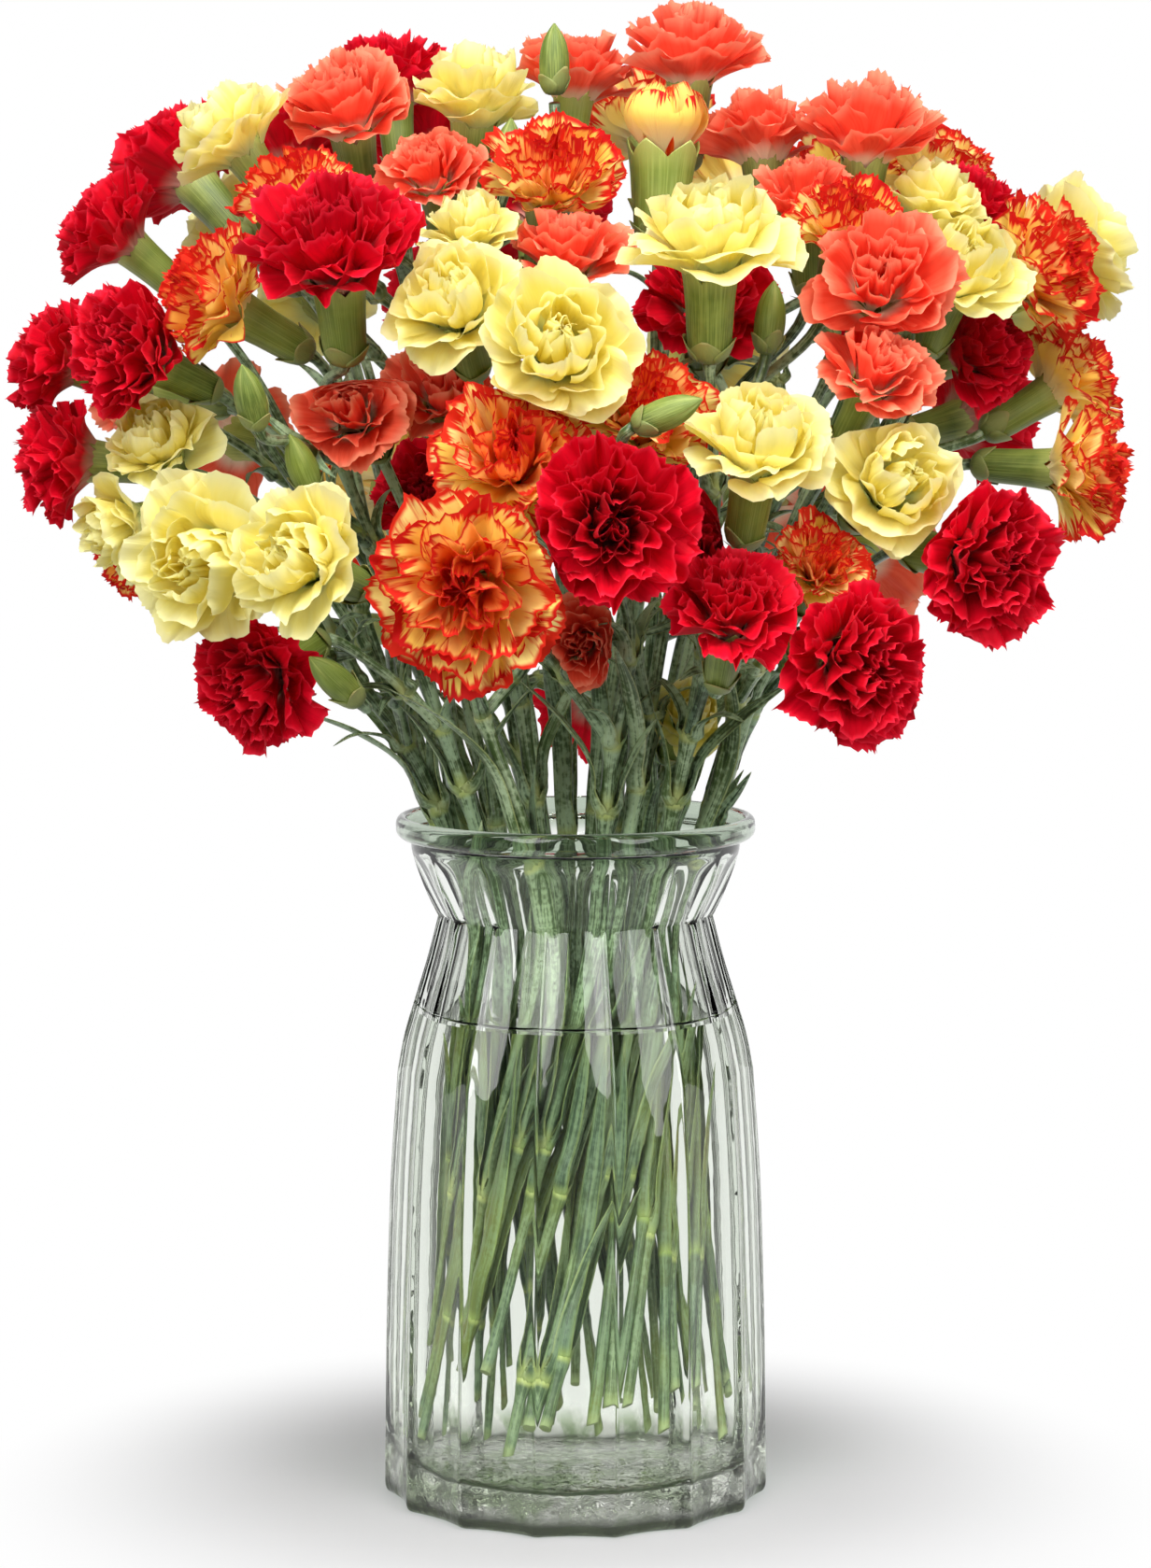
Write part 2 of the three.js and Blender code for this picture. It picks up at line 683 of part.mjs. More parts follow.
function calyxBase(head) {
  const back = head.depth + head.length + (head.bud ? -head.length / 2 : 0);
  return head.centre.clone().addScaledVector(head.axis, -back);
}

// The last points of a strand: a straight stretch along the head's axis, then the calyx,
// or for a bud the whole closed bud.
function headKnots(head) {
  if (head.knots) return head.knots;
  const base = calyxBase(head);
  const at = (along, radius) => {
    const place = base.clone().addScaledVector(head.axis, along);
    return knot(place, radius, true);
  };
  const stalk = at(0, PEDICEL_R + 0.5);
  if (head.bud) {
    const belly = at(head.length * 0.35, head.mouth);
    const neck = at(head.length * 0.7, head.mouth * 0.8);
    head.knots = [stalk, belly, neck, at(head.length, 0.8)];
  } else {
    const belly = at(head.length * 0.3, head.mouth * 0.8);
    head.knots = [stalk, belly, at(head.length, head.mouth)];
  }
  return head.knots;
}

function bezierKnots(from, tangent, head, radiusFrom, step, fewest = 2) {
  const ends = headKnots(head);
  const target = ends[0].place;
  const span = from.distanceTo(target);
  const lead = from.clone().addScaledVector(tangent, span * 0.36);
  const tail = target.clone().addScaledVector(head.axis, -span * 0.22);
  const curve = new THREE.CubicBezierCurve3(from, lead, tail, target);
  const pieces = Math.max(fewest, Math.round(span / step));
  const knots = [];
  for (let i = 1; i < pieces; i += 1) {
    const radius = THREE.MathUtils.lerp(radiusFrom, PEDICEL_R, i / pieces);
    knots.push(knot(curve.getPoint(i / pieces), radius, false));
  }
  return [...knots, ...ends];
}

function tangentAt(knots, i) {
  const before = knots[Math.max(0, i - 1)].place;
  const after = knots[Math.min(knots.length - 1, i + 1)].place;
  return after.clone().sub(before).normalize();
}

// The main stem: from its cut end, up the vase and over the rim to the furthest head.
function mainStrand(spray, head, shoots, seed) {
  const neck = neckPlace(spray);
  const cutZ = between(CUT_Z, draw(seed));
  const nodeZ = between(NODE_Z, draw(seed + 500));
  const low = [
    knot(stemAt(neck, cutZ), STEM_R, true),
    knot(stemAt(neck, nodeZ - STEM_NODE_HALF), STEM_R, true),
    knot(stemAt(neck, nodeZ), STEM_NODE_R, true),
    knot(stemAt(neck, nodeZ + STEM_NODE_HALF), STEM_R, true),
    knot(stemAt(neck, NECK_Z), STEM_R, true),
  ];
  const target = calyxBase(head);
  const over = new THREE.Vector2(target.x, target.y).sub(neck).multiplyScalar(0.12);
  const rim = neck.clone().multiplyScalar(1.25).add(over);
  rim.clampLength(0, VASE_INNER.at(-1).r - STEM_R - 1.2);
  const rimKnot = knot(vec(rim.x, rim.y, RIM_Z + 3), STEM_R, true);
  const tangent = rimKnot.place.clone().sub(low.at(-1).place).normalize();
  const high = bezierKnots(rimKnot.place, tangent, head, STEM_R, STEM_STEP, shoots + 2);
  return { kind: 'main', knots: [...low, rimKnot, ...high], firstFree: low.length + 1 };
}

// A side shoot leaves the stem as high as it can while it still leaves at a sharp angle.
function sideStrand(main, head, taken) {
  const base = headKnots(head)[0].place;
  let joint = null;
  for (let i = main.firstFree; !main.knots[i].fixed; i += 1) {
    if (taken.has(i)) continue;
    const away = base.clone().sub(main.knots[i].place);
    const long = away.length() > SHOOT_LEAST_LENGTH;
    const sharp = away.normalize().dot(tangentAt(main.knots, i)) > SHOOT_LEAST_COSINE;
    if (joint === null || (sharp && long)) joint = i;
  }
  taken.add(joint);
  const start = main.knots[joint];
  const tangent = tangentAt(main.knots, joint);
  tangent.addScaledVector(base.clone().sub(start.place).normalize(), 0.8).normalize();
  const rest = bezierKnots(start.place, tangent, head, PEDICEL_R + 0.3, PEDICEL_STEP);
  return { kind: 'side', knots: [start, ...rest] };
}

// A narrow leaf leaves a joint of the stem and bends away from it.
function leafStrand(main, joint, seed, length) {
  const start = main.knots[joint];
  const tangent = tangentAt(main.knots, joint);
  const [side, up] = crossFrame(tangent);
  const angle = draw(seed) * 2 * Math.PI;
  const out = side.multiplyScalar(Math.cos(angle)).addScaledVector(up, Math.sin(angle));
  const knots = [start];
  for (let i = 1; i <= LEAF_PARTS; i += 1) {
    const along = (length * i) / LEAF_PARTS;
    const place = start.place.clone().addScaledVector(tangent, along * (1 - 0.05 * i));
    place.addScaledVector(out, along * (0.22 + 0.11 * i));
    const halfWidth = i === LEAF_PARTS ? LEAF_TIP_HALF_WIDTH : LEAF_HALF_WIDTH * (1 - 0.12 * i);
    knots.push(knot(place, halfWidth, false));
  }
  return { kind: 'leaf', knots, out };
}

function growSpray(name, spray, index) {
  const heads = spray.heads.map((row, i) => readHead(row, index * 20 + i));
  const buds = spray.buds.map((row, i) => readBud(row, index * 20 + 10 + i));
  const neck = vec(0, 0, NECK_Z);
  const byReach = [...heads].sort((a, b) => {
    return calyxBase(b).distanceTo(neck) - calyxBase(a).distanceTo(neck);
  });
  const shoots = heads.length - 1 + buds.length;
  const main = mainStrand(spray, byReach[0], shoots, index);
  const taken = new Set();
  const sides = [...byReach.slice(1), ...buds].map((head) => sideStrand(main, head, taken));
  const leafLength = between(LEAF_LENGTH, draw(index * 3));
  const leaf = leafStrand(main, main.firstFree - 1, index * 11, leafLength);
  const strands = [main, ...sides, leaf];
  return { name, index, heads, buds, strands };
}

// ---- easing the strands apart -------------------------------------------------------

// The nearest points of two segments, as shares of their lengths.
function nearestShares(a0, a1, b0, b1) {
  const u = a1.clone().sub(a0);
  const v = b1.clone().sub(b0);
  const w = a0.clone().sub(b0);
  const uu = u.dot(u);
  const vv = v.dot(v);
  const uv = u.dot(v);
  const uw = u.dot(w);
  const vw = v.dot(w);
  const flat = uu * vv - uv * uv;
  const clamp = (x) => Math.min(1, Math.max(0, x));
  let s = flat > 1e-9 ? clamp((uv * vw - vv * uw) / flat) : 0;
  const t = clamp((uv * s + vw) / vv);
  s = clamp((uv * t - uw) / uu);
  return [s, t];
}

function segmentsOf(sprays) {
  const segments = [];
  for (const spray of sprays) {
    spray.strands.forEach((strand, chain) => {
      for (let i = 0; i < strand.knots.length - 1; i += 1) {
        const a = strand.knots[i];
        const b = strand.knots[i + 1];
        const near = i < 2 && strand.kind !== 'main';
        segments.push({ a, b, group: spray.group, chain: `${spray.name}${chain}`, near });
      }
    });
  }
  return segments;
}

// How far apart two segments are and how far apart their surfaces must be.
function gapBetween(one, two) {
  const [s, t] = nearestShares(one.a.place, one.b.place, two.a.place, two.b.place);
  const from = one.a.place.clone().lerp(one.b.place, s);
  const to = two.a.place.clone().lerp(two.b.place, t);
  const radii = Math.max(one.a.radius, one.b.radius) + Math.max(two.a.radius, two.b.radius);
  return { s, t, away: from.sub(to), radii };
}

function pushPair(one, two, margin) {
  const { s, t, away, radii } = gapBetween(one, two);
  const distance = away.length();
  const lack = radii + margin - distance;
  if (lack <= 0 || distance < 1e-6) return;
  away.multiplyScalar((0.5 * lack) / distance);
  one.a.push.addScaledVector(away, 1 - s);
  one.b.push.addScaledVector(away, s);
  two.a.push.addScaledVector(away, t - 1);
  two.b.push.addScaledVector(away, -t);
}

// The places between heads of one cluster, where their petals meet.
function bridgesOf(heads) {
  const bridges = [];
  for (const head of heads) {
    for (const { towards, halfway } of neighboursOf(head, heads)) {
      const centre = head.centre.clone().addScaledVector(towards, halfway);
      bridges.push({ centre, radius: BRIDGE_RADIUS });
    }
  }
  return bridges;
}

function pushFromBall(segment, ball) {
  const span = segment.b.place.clone().sub(segment.a.place);
  const to = ball.centre.clone().sub(segment.a.place);
  const share = THREE.MathUtils.clamp(to.dot(span) / span.lengthSq(), 0, 1);
  const away = segment.a.place.clone().addScaledVector(span, share).sub(ball.centre);
  const distance = away.length();
  const lack = HEAD_CORE_RATIO * ball.radius + segment.a.radius - distance;
  if (lack <= 0) return;
  away.multiplyScalar(lack / distance);
  segment.a.push.addScaledVector(away, 1 - share);
  segment.b.push.addScaledVector(away, share);
}

// Strands of different bunches are pushed apart, round the heads and inside the rim,
// while each keeps the bend that it started with.
function easeApart(sprays) {
  const segments = segmentsOf(sprays);
  const heads = sprays.flatMap((spray) => spray.heads);
  const keepClear = [...heads, ...bridgesOf(heads)];
  const chains = sprays.flatMap((spray) => spray.strands.map(({ knots }) => knots));
  for (const knots of chains) {
    for (let i = 1; i < knots.length - 1; i += 1) {
      const middle = knots[i - 1].place.clone().add(knots[i + 1].place).multiplyScalar(0.5);
      if (!knots[i].bend) knots[i].bend = knots[i].place.clone().sub(middle);
    }
  }
  let pairs = [];
  for (let round = 0; round < EASING_ROUNDS; round += 1) {
    if (round % PAIR_ROUNDS === 0) pairs = nearPairs(segments);
    for (const [one, two] of pairs) pushPair(one, two, STRAND_MARGIN);
    for (const segment of segments) {
      if (segment.a.fixed && segment.b.fixed) continue;
      for (const ball of keepClear) pushFromBall(segment, ball);
    }
    const last = round >= EASING_ROUNDS - LAST_ROUNDS;
    moveKnots(chains, last ? LAST_STIFFNESS : FIRST_STIFFNESS);
  }
}

function nearPairs(segments) {
  const pairs = [];
  for (let i = 0; i < segments.length; i += 1) {
    for (let j = i + 1; j < segments.length; j += 1) {
      const one = segments[i];
      const two = segments[j];
      if (one.a.fixed && one.b.fixed && two.a.fixed && two.b.fixed) continue;
      const sameGroup = one.group === two.group;
      if (sameGroup && (one.chain === two.chain || one.near || two.near)) continue;
      const { away, radii } = gapBetween(one, two);
      if (away.length() < radii + PAIR_REACH) pairs.push([one, two]);
    }
  }
  return pairs;
}

function moveKnots(chains, stiffness) {
  const moved = new Set();
  for (const knots of chains) {
    for (let i = 1; i < knots.length; i += 1) {
      const here = knots[i];
      if (here.fixed || moved.has(here)) continue;
      moved.add(here);
      if (i < knots.length - 1) {
        const goal = knots[i - 1].place.clone().add(knots[i + 1].place).multiplyScalar(0.5);
        goal.add(here.bend).sub(here.place);
        here.push.addScaledVector(goal, stiffness);
      }
      here.push.clampLength(0, LONGEST_PUSH);
    }
  }
  for (const knots of chains) {
    for (const here of knots) {
      if (!here.fixed) here.place.add(here.push);
      here.push.set(0, 0, 0);
      if (!here.fixed) keepOffRim(here);
    }
  }
}

// A strand that is not yet clear of the rim stays inside it.
function keepOffRim({ place, radius }) {
  if (place.z > RIM_Z + radius + 4) return;
  const limit = innerRadius(Math.min(place.z, RIM_Z)) - radius - RIM_CLEARANCE;
  const flat = Math.hypot(place.x, place.y);
  if (flat <= limit) return;
  place.x *= limit / flat;
  place.y *= limit / flat;
}

// ---- solids of the strands ----------------------------------------------------------

// A tube through the knots, with the section turned as little as possible on the way.
function tubeGeometry(knots, grow, startRadius = knots[0].radius) {
  let [side] = crossFrame(tangentAt(knots, 0));
  const rings = knots.map((here, i) => {
    const tangent = tangentAt(knots, i);
    side = side.clone().addScaledVector(tangent, -side.dot(tangent)).normalize();
    const up = tangent.clone().cross(side);
    const radius = (i === 0 ? startRadius : here.radius) + grow;
    const ring = [];
    for (let j = 0; j < STRAND_SIDES; j += 1) {
      const angle = (2 * Math.PI * j) / STRAND_SIDES;
      const point = here.place.clone();
      point.addScaledVector(side, radius * Math.cos(angle));
      point.addScaledVector(up, radius * Math.sin(angle));
      ring.push(point);
    }
    return ring;
  });
  return ringGeometry(rings);
}

// A leaf is a strap with a keel below, so its section is a flat triangle.
function leafGeometry(strand) {
  const { knots, out } = strand;
  const rings = knots.map((here, i) => {
    const tangent = tangentAt(knots, i);
    const across = tangent.clone().cross(out).normalize();
    const face = across.clone().cross(tangent);
    const width = i === 0 ? LEAF_HALF_WIDTH * 0.6 : here.radius * 0.92;
    const keel = Math.min(LEAF_KEEL, width);
    return [
      here.place.clone().addScaledVector(across, -width),
      here.place.clone().addScaledVector(face, keel),
      here.place.clone().addScaledVector(across, width),
    ];
  });
  return ringGeometry(rings);
}

function strandSolid(strand) {
  if (strand.kind === 'leaf') return toSolid(leafGeometry(strand));
  if (strand.kind === 'main') return toSolid(tubeGeometry(strand.knots, 0));
  return toSolid(tubeGeometry(strand.knots, 0, PEDICEL_ROOT_R));
}

// The straight hole that a stem leaves in the water, wide enough for its joint.
function stemHole({ knots }) {
  const [cut, , , , neck] = knots;
  const along = neck.place.clone().sub(cut.place).normalize();
  const foot = cut.place.clone().addScaledVector(along, -WATER_CLEARANCE);
  const ends = [knot(foot, STEM_NODE_R, true), knot(neck.place, STEM_NODE_R, true)];
  return toSolid(tubeGeometry(ends, WATER_CLEARANCE));
}

// ---- cells: the room that each head has ---------------------------------------------

// A wall halfway to a neighbour's head, shared by size, and walls in front of every
// stem, calyx and leaf nearby. The walls of all heads together keep every pair apart.
function cellOf(head, heads, segments) {
  const cell = [{ normal: head.axis.clone().negate(), offset: head.depth - TOUCH_GAP }];
  for (const other of heads) {
    if (other === head || other.cluster === head.cluster) continue;
    const towards = other.centre.clone().sub(head.centre);
    const distance = towards.length();
    const share = (distance * head.radius) / (head.radius + other.radius);
    cell.push({ normal: towards.divideScalar(distance), offset: share - TOUCH_GAP / 2 });
  }
  for (const { a, b } of segments) {
    const span = b.place.clone().sub(a.place);
    const to = head.centre.clone().sub(a.place);
    const share = THREE.MathUtils.clamp(to.dot(span) / span.lengthSq(), 0, 1);
    const nearest = a.place.clone().addScaledVector(span, share).sub(head.centre);
    const distance = nearest.length();
    const radius = Math.max(a.radius, b.radius);
    if (distance > CELL_REACH * head.radius + radius) continue;
    if (head.knots.includes(a) && head.knots.includes(b)) continue;
    const offset = distance - radius - TOUCH_GAP;
    cell.push({ normal: nearest.divideScalar(distance), offset });
  }
  return cell;
}

// ---- assembly -----------------------------------------------------------------------

function gather(sprays, key) {
  const groups = new Map();
  for (const item of sprays) {
    const name = key(item);
    groups.set(name, [...(groups.get(name) ?? []), item]);
  }
  return groups;
}

const sprays = Object.entries(SPRAYS).map(([name, spray], index) => ({
  ...growSpray(name, spray, index),
  group: `${spray.ring}${spray.slot}`,
}));
easeApart(sprays);

const bouquet = new THREE.Group();
const holes = sprays.map(({ strands }) => stemHole(strands[0]));
bouquet.add(toMesh('vase', vaseSurface(), 'glass'));
bouquet.add(toMesh('water', waterSurface(holes), 'water'));

for (const members of gather(sprays, ({ group }) => group).values()) {
  const solids = members.flatMap(({ strands }) => strands.map(strandSolid));
  const name = `stems_${members.map((spray) => spray.name).join('_and_')}`;
  bouquet.add(toMesh(name, fuse(solids), 'stem'));
}

const segments = segmentsOf(sprays);
const allHeads = sprays.flatMap(({ heads }) => heads);
for (const [cluster, heads] of gather(allHeads, (head) => head.cluster)) {
  const solids = heads.map((head) => headSolid(head, heads, cellOf(head, allHeads, segments)));
  const colour = cluster.split('_')[0];
  bouquet.add(toMesh(`blooms_${cluster}`, fuse(solids), colour));
}

export default bouquet;
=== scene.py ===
import math
from itertools import permutations
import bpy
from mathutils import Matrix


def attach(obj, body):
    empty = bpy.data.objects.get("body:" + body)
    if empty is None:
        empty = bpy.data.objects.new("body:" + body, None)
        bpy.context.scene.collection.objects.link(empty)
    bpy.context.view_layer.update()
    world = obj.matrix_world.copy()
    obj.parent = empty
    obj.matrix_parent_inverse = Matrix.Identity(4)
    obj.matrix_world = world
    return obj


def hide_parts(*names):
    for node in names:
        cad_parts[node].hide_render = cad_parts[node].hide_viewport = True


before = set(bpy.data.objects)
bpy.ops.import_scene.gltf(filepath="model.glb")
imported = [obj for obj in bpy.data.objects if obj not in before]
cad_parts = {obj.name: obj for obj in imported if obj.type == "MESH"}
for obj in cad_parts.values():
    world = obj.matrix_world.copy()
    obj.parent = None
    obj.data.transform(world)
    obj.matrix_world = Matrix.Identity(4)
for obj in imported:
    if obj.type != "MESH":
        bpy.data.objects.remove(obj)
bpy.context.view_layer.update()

from types import SimpleNamespace

import bpy
import numpy as np

# ---- table, light and camera --------------------------------------------------------
# The vase stands on a plain white table under broad, soft studio light. Round the vase
# the table is grey with painted shade, which fades into an even white glow away from it,
# as a lit sweep of paper looks, and the glass sees a grey card in front of it, which
# keeps its lines dark.

MM = 0.001
TABLE_RADIUS = 3.0
TABLE_SIDES = 96
TABLE_DROP = 0.1
SHADE_ENDS_AT = (0.065, 0.185)
CARD_STARTS_AT = (0.0, -0.16)
CARD_GREY = 0.28
PHOTO_HEIGHT = 1679
FOCAL_PIXELS = 4450
SENSOR = 36.0
CAMERA_PLACE = (0.0, -1.2, 0.335)
CAMERA_DIPS = math.radians(6)
LIT_HEIGHT = 0.25


class Nodes:
    """The nodes of a material, world or group. An input is a value or a node's socket."""

    def __init__(self, tree):
        self.tree = tree

    def fill(self, node, inputs):
        for key, value in inputs.items():
            if isinstance(value, bpy.types.NodeSocket):
                self.tree.links.new(value, node.inputs[key])
            else:
                node.inputs[key].default_value = (*value, 1) if isinstance(value, tuple) else value

    def add(self, kind, inputs=None, **settings):
        node = self.tree.nodes.new("ShaderNode" + kind)
        for key, value in settings.items():
            setattr(node, key, value)
        self.fill(node, inputs or {})
        return node

    def math(self, operation, *values):
        return self.add("Math", dict(enumerate(values)), operation=operation).outputs[0]

    def times(self, value, factor, more=0.0):
        """value x factor + more."""
        return self.math("MULTIPLY_ADD", value, factor, more)

    def step(self, value, low, high):
        """0 at low and 1 at high, with a smooth rise between them."""
        inputs = {0: value, 1: low, 2: high}
        return self.add("MapRange", inputs, interpolation_type="SMOOTHSTEP").outputs[0]

    def mix(self, share, first, second):
        """The first colour, with a share of the second in its place."""
        return self.add("Mix", {0: share, 6: first, 7: second}, data_type="RGBA").outputs[2]

    def place(self):
        return self.add("TexCoord").outputs["Object"]

    def parts(self, vector):
        return self.add("SeparateXYZ", {0: vector}).outputs

    def rays(self, kind):
        return self.add("LightPath").outputs[kind]

    def noise(self, place, scale, detail):
        return self.add("TexNoise", {"Vector": place, "Scale": scale, "Detail": detail}).outputs[0]

    def streaks(self, across, along, third, scale, detail):
        """Noise drawn out along a stem, leaf or petal, from its place across and along it."""
        place = self.add("CombineXYZ", {0: across, 1: along, 2: third}).outputs[0]
        return self.noise(place, scale, detail)

    def bump(self, height, strength, distance):
        inputs = {"Height": height, "Strength": strength, "Distance": distance * MM}
        return self.add("Bump", inputs).outputs[0]


class Finish(Nodes):
    """A material, with the shader of its surface at hand."""

    def __init__(self, name, inputs):
        self.material = bpy.data.materials.new(name)
        self.material.use_nodes = True
        super().__init__(self.material.node_tree)
        self.shader = self.tree.nodes["Principled BSDF"]
        self.fill(self.shader, inputs)

    def blend(self, share, other):
        """A share of another shader takes the place of the first."""
        mixed = self.add("MixShader", {0: share, 1: self.shader.outputs[0], 2: other.outputs[0]})
        self.fill(self.tree.nodes["Material Output"], {"Surface": mixed.outputs[0]})


def put(name, data):
    """A mesh, camera or lamp is put in the scene."""
    made = bpy.data.objects.new(name, data)
    bpy.context.scene.collection.objects.link(made)
    return made


def make_table():
    angles = np.linspace(0, 2 * math.pi, TABLE_SIDES, endpoint=False)
    rim = [(TABLE_RADIUS * math.cos(a), TABLE_RADIUS * math.sin(a), 0.0) for a in angles]
    mesh = bpy.data.meshes.new("table")
    mesh.from_pydata(rim, [], [list(range(TABLE_SIDES))])
    table = put("table", mesh)
    table.location.z = -TABLE_DROP * MM

    # The grey of the paper near the vase is painted shade; further off the table glows white.
    look = {"Base Color": (0.51, 0.51, 0.515), "Roughness": 0.7, "Specular IOR Level": 0.2}
    paper = Finish("white_paper", look)
    place = paper.place()
    unseen = paper.math("SUBTRACT", 1.0, paper.rays("Is Camera Ray"))
    reach = paper.add("VectorMath", {0: place}, operation="LENGTH").outputs["Value"]
    # For rays other than the camera's, the painted shade ends nearer the vase.
    reach = paper.times(reach, paper.times(unseen, 0.6, 1.0))
    card = paper.times(paper.step(paper.parts(place)["Y"], *CARD_STARTS_AT), unseen)
    light = paper.times(card, CARD_GREY - 1.0, 1.0)
    glow = paper.add("Emission", {"Color": (1, 1, 1), "Strength": light})
    paper.blend(paper.step(reach, *SHADE_ENDS_AT), glow)
    mesh.materials.append(paper.material)


def make_camera():
    data = bpy.data.cameras.new("camera")
    data.sensor_width = SENSOR
    data.lens = FOCAL_PIXELS * SENSOR / PHOTO_HEIGHT
    camera = put("camera", data)
    camera.location = CAMERA_PLACE
    camera.rotation_euler = (math.pi / 2 - CAMERA_DIPS, 0, 0)
    bpy.context.scene.camera = camera


def make_soft_box(name, place, size, power):
    data = bpy.data.lights.new(name, "AREA")
    data.shape = "ELLIPSE"
    data.size, data.size_y = size
    data.energy = power
    light = put(name, data)
    light.location = place
    x, y, z = np.array(place) - (0, 0, LIT_HEIGHT)
    light.rotation_euler = (math.atan2(math.hypot(x, y), z), 0, math.atan2(x, -y))


def make_room():
    """The room is white behind, greyer overhead and in front, and dark to the sides."""
    world = bpy.data.worlds.new("studio")
    bpy.context.scene.world = world
    world.use_nodes = True
    room = Nodes(world.node_tree)
    room.tree.nodes.clear()
    way = room.parts(room.add("TexCoord").outputs["Generated"])
    grey = room.times(room.step(room.math("ABSOLUTE", way["X"]), 0.5, 0.78), -0.84, 0.9)
    for part, low, high, loss in ((way["Z"], 0.1, 0.75, -0.85), (way["Y"], 0.1, -0.5, -0.8)):
        grey = room.times(grey, room.times(room.step(part, low, high), loss, 1.0))
    lit = room.add("Background", {"Color": grey, "Strength": 1.0}).outputs[0]
    seen = room.add("Background", {"Color": (1, 1, 1), "Strength": 1.0}).outputs[0]
    mixed = room.add("MixShader", {0: room.rays("Is Camera Ray"), 1: lit, 2: seen})
    room.add("OutputWorld", {"Surface": mixed.outputs[0]})


make_table()
make_camera()
make_soft_box("key_light", (-0.85, -1.5, 1.1), (1.2, 2.1), 35)
make_soft_box("fill_light", (1.1, -1.4, 0.8), (1.0, 1.7), 20)
make_soft_box("top_light", (0.15, -0.75, 1.7), (1.2, 1.0), 36)
make_room()
bpy.context.scene.view_settings.view_transform = "Standard"

# ---- vase ---------------------------------------------------------------------------
# Clear pressed glass, faintly green where it is thick, and darker with painted shade at
# the heel, in patches in the foot and at the lip. Fifteen hollow flutes run up it between
# sharp ridges and fade under a plain collar, and the rim is fire-rounded.

FLUTES = 15
FLUTE_DEPTH = 2.6
# Where the points of a flute stand, as shares of its width, close by its round ridges.
FLUTE_POINTS = (0, 0.012, 0.024, 0.04, 0.08, 0.15, 0.25, 0.37, 0.5, 0.63, 0.75, 0.85, 0.92,
                0.96, 0.976, 0.988)
RIDGE_SHARE = 0.04
RUN_STEPS = 4
SHARPEST_SMOOTH = math.radians(38)
WATER_Z = 142.0
GLASS_INDEX = 1.5
WATER_INDEX = 1.333
FOOT_RIPPLES = (0.024, 0.006)
HEEL_GRAIN = (0.012, 0.003)
# The heel, the foot's olive patches and the lip are partly the thick glass's own green and partly painted
# shade.
GLASS_TINTS = {
    "Heel": (0.02, 0.03, 0.012), "Foot": (0.42, 0.54, 0.32), "Clear Foot": (0.98, 1.0, 0.93),
    "Wall": (0.915, 0.94, 0.9), "Lip": (0.52, 0.6, 0.5),
}
# Runs of (height, radius at the ridges, share of the flute depth). A corner is left
# between two runs.
VASE_OUTSIDE = [
    [(3, 5, 0), (2.8, 20, 0), (2, 33, 0), (0.8, 43, 0), (0, 46.5, 0)],
    [(0, 46.5, 0), (0, 53.2, 0.9), (0.25, 54.6, 0.95), (0.9, 55.6, 1), (2.2, 56.15, 1), (4, 56.3, 1)],
    [(4, 56.3, 1), (30, 56, 1), (56, 55.5, 1), (95, 54.2, 1), (126.4, 52, 1)],
    [(126.4, 52, 1), (137, 49.9, 1), (147.6, 46.7, 1), (160, 42.9, 0.95), (171, 40.1, 0.85)],
    [(171, 40.1, 0.85), (175, 42.1, 0.8), (180, 44.3, 0.75), (186, 46.5, 0.55), (190.5, 47.7, 0)],
    [(190.5, 47.7, 0), (193.2, 47.9, 0)],
    [(193.2, 47.9, 0), (193.6, 50.3, 0), (195, 51.9, 0), (197, 52.2, 0), (198.8, 52, 0),
     (199.8, 51.1, 0), (200, 50.2, 0), (199.7, 49.4, 0), (198.8, 49, 0), (197.5, 48.85, 0)],
]
VASE_INSIDE = [
    [(197.5, 48.85, 0), (195, 48.7, 0), (193.4, 48.2, 0), (192.6, 47.2, 0)],
    [(192.6, 47.2, 0), (190, 46.2, 0), (185, 43.4, 0.05), (180, 41, 0.1), (175, 38.6, 0.15),
     (171, 36.6, 0.15)],
    [(171, 36.6, 0.15), (160, 39.4, 0.2), (147.6, 42.6, 0.2), (WATER_Z, 44, 0.2)],
    [(WATER_Z, 44, 0.2), (126, 47.4, 0.2), (95, 49.5, 0.2), (56, 50.8, 0.2), (30, 51.3, 0.2)],
    [(30, 51.3, 0.2), (21, 50.9, 0.15), (15, 49.4, 0.1), (11.6, 46.4, 0), (10.2, 42, 0),
     (10.6, 34, 0), (11.4, 20, 0), (11.8, 6, 0)],
]


def hermite(start, end, leaving, arriving, t):
    """A smooth way from start to end, with the speed that it leaves and arrives at."""
    near = (2 * t**3 - 3 * t**2 + 1) * start + (t**3 - 2 * t**2 + t) * leaving
    return near + (3 * t**2 - 2 * t**3) * end + (t**3 - t**2) * arriving


def through(points, steps):
    """A smooth line through points: rows of the same numbers, steps to each span."""
    points = np.asarray(points, float)
    before = np.vstack([2 * points[0] - points[1], points[:-1]])
    after = np.vstack([points[1:], 2 * points[-1] - points[-2]])
    speeds = (after - before) / 2
    t = np.linspace(0, 1, steps, endpoint=False)[:, None]
    spans = zip(points, points[1:], speeds, speeds[1:])
    return np.vstack([hermite(*span, t) for span in spans] + [points[-1:]])


def ring_grid(radius, height, angle):
    """Rings of points round the vase's axis."""
    rings = np.broadcast_arrays(radius * np.cos(angle), radius * np.sin(angle), height)
    return np.stack(rings, axis=-1)


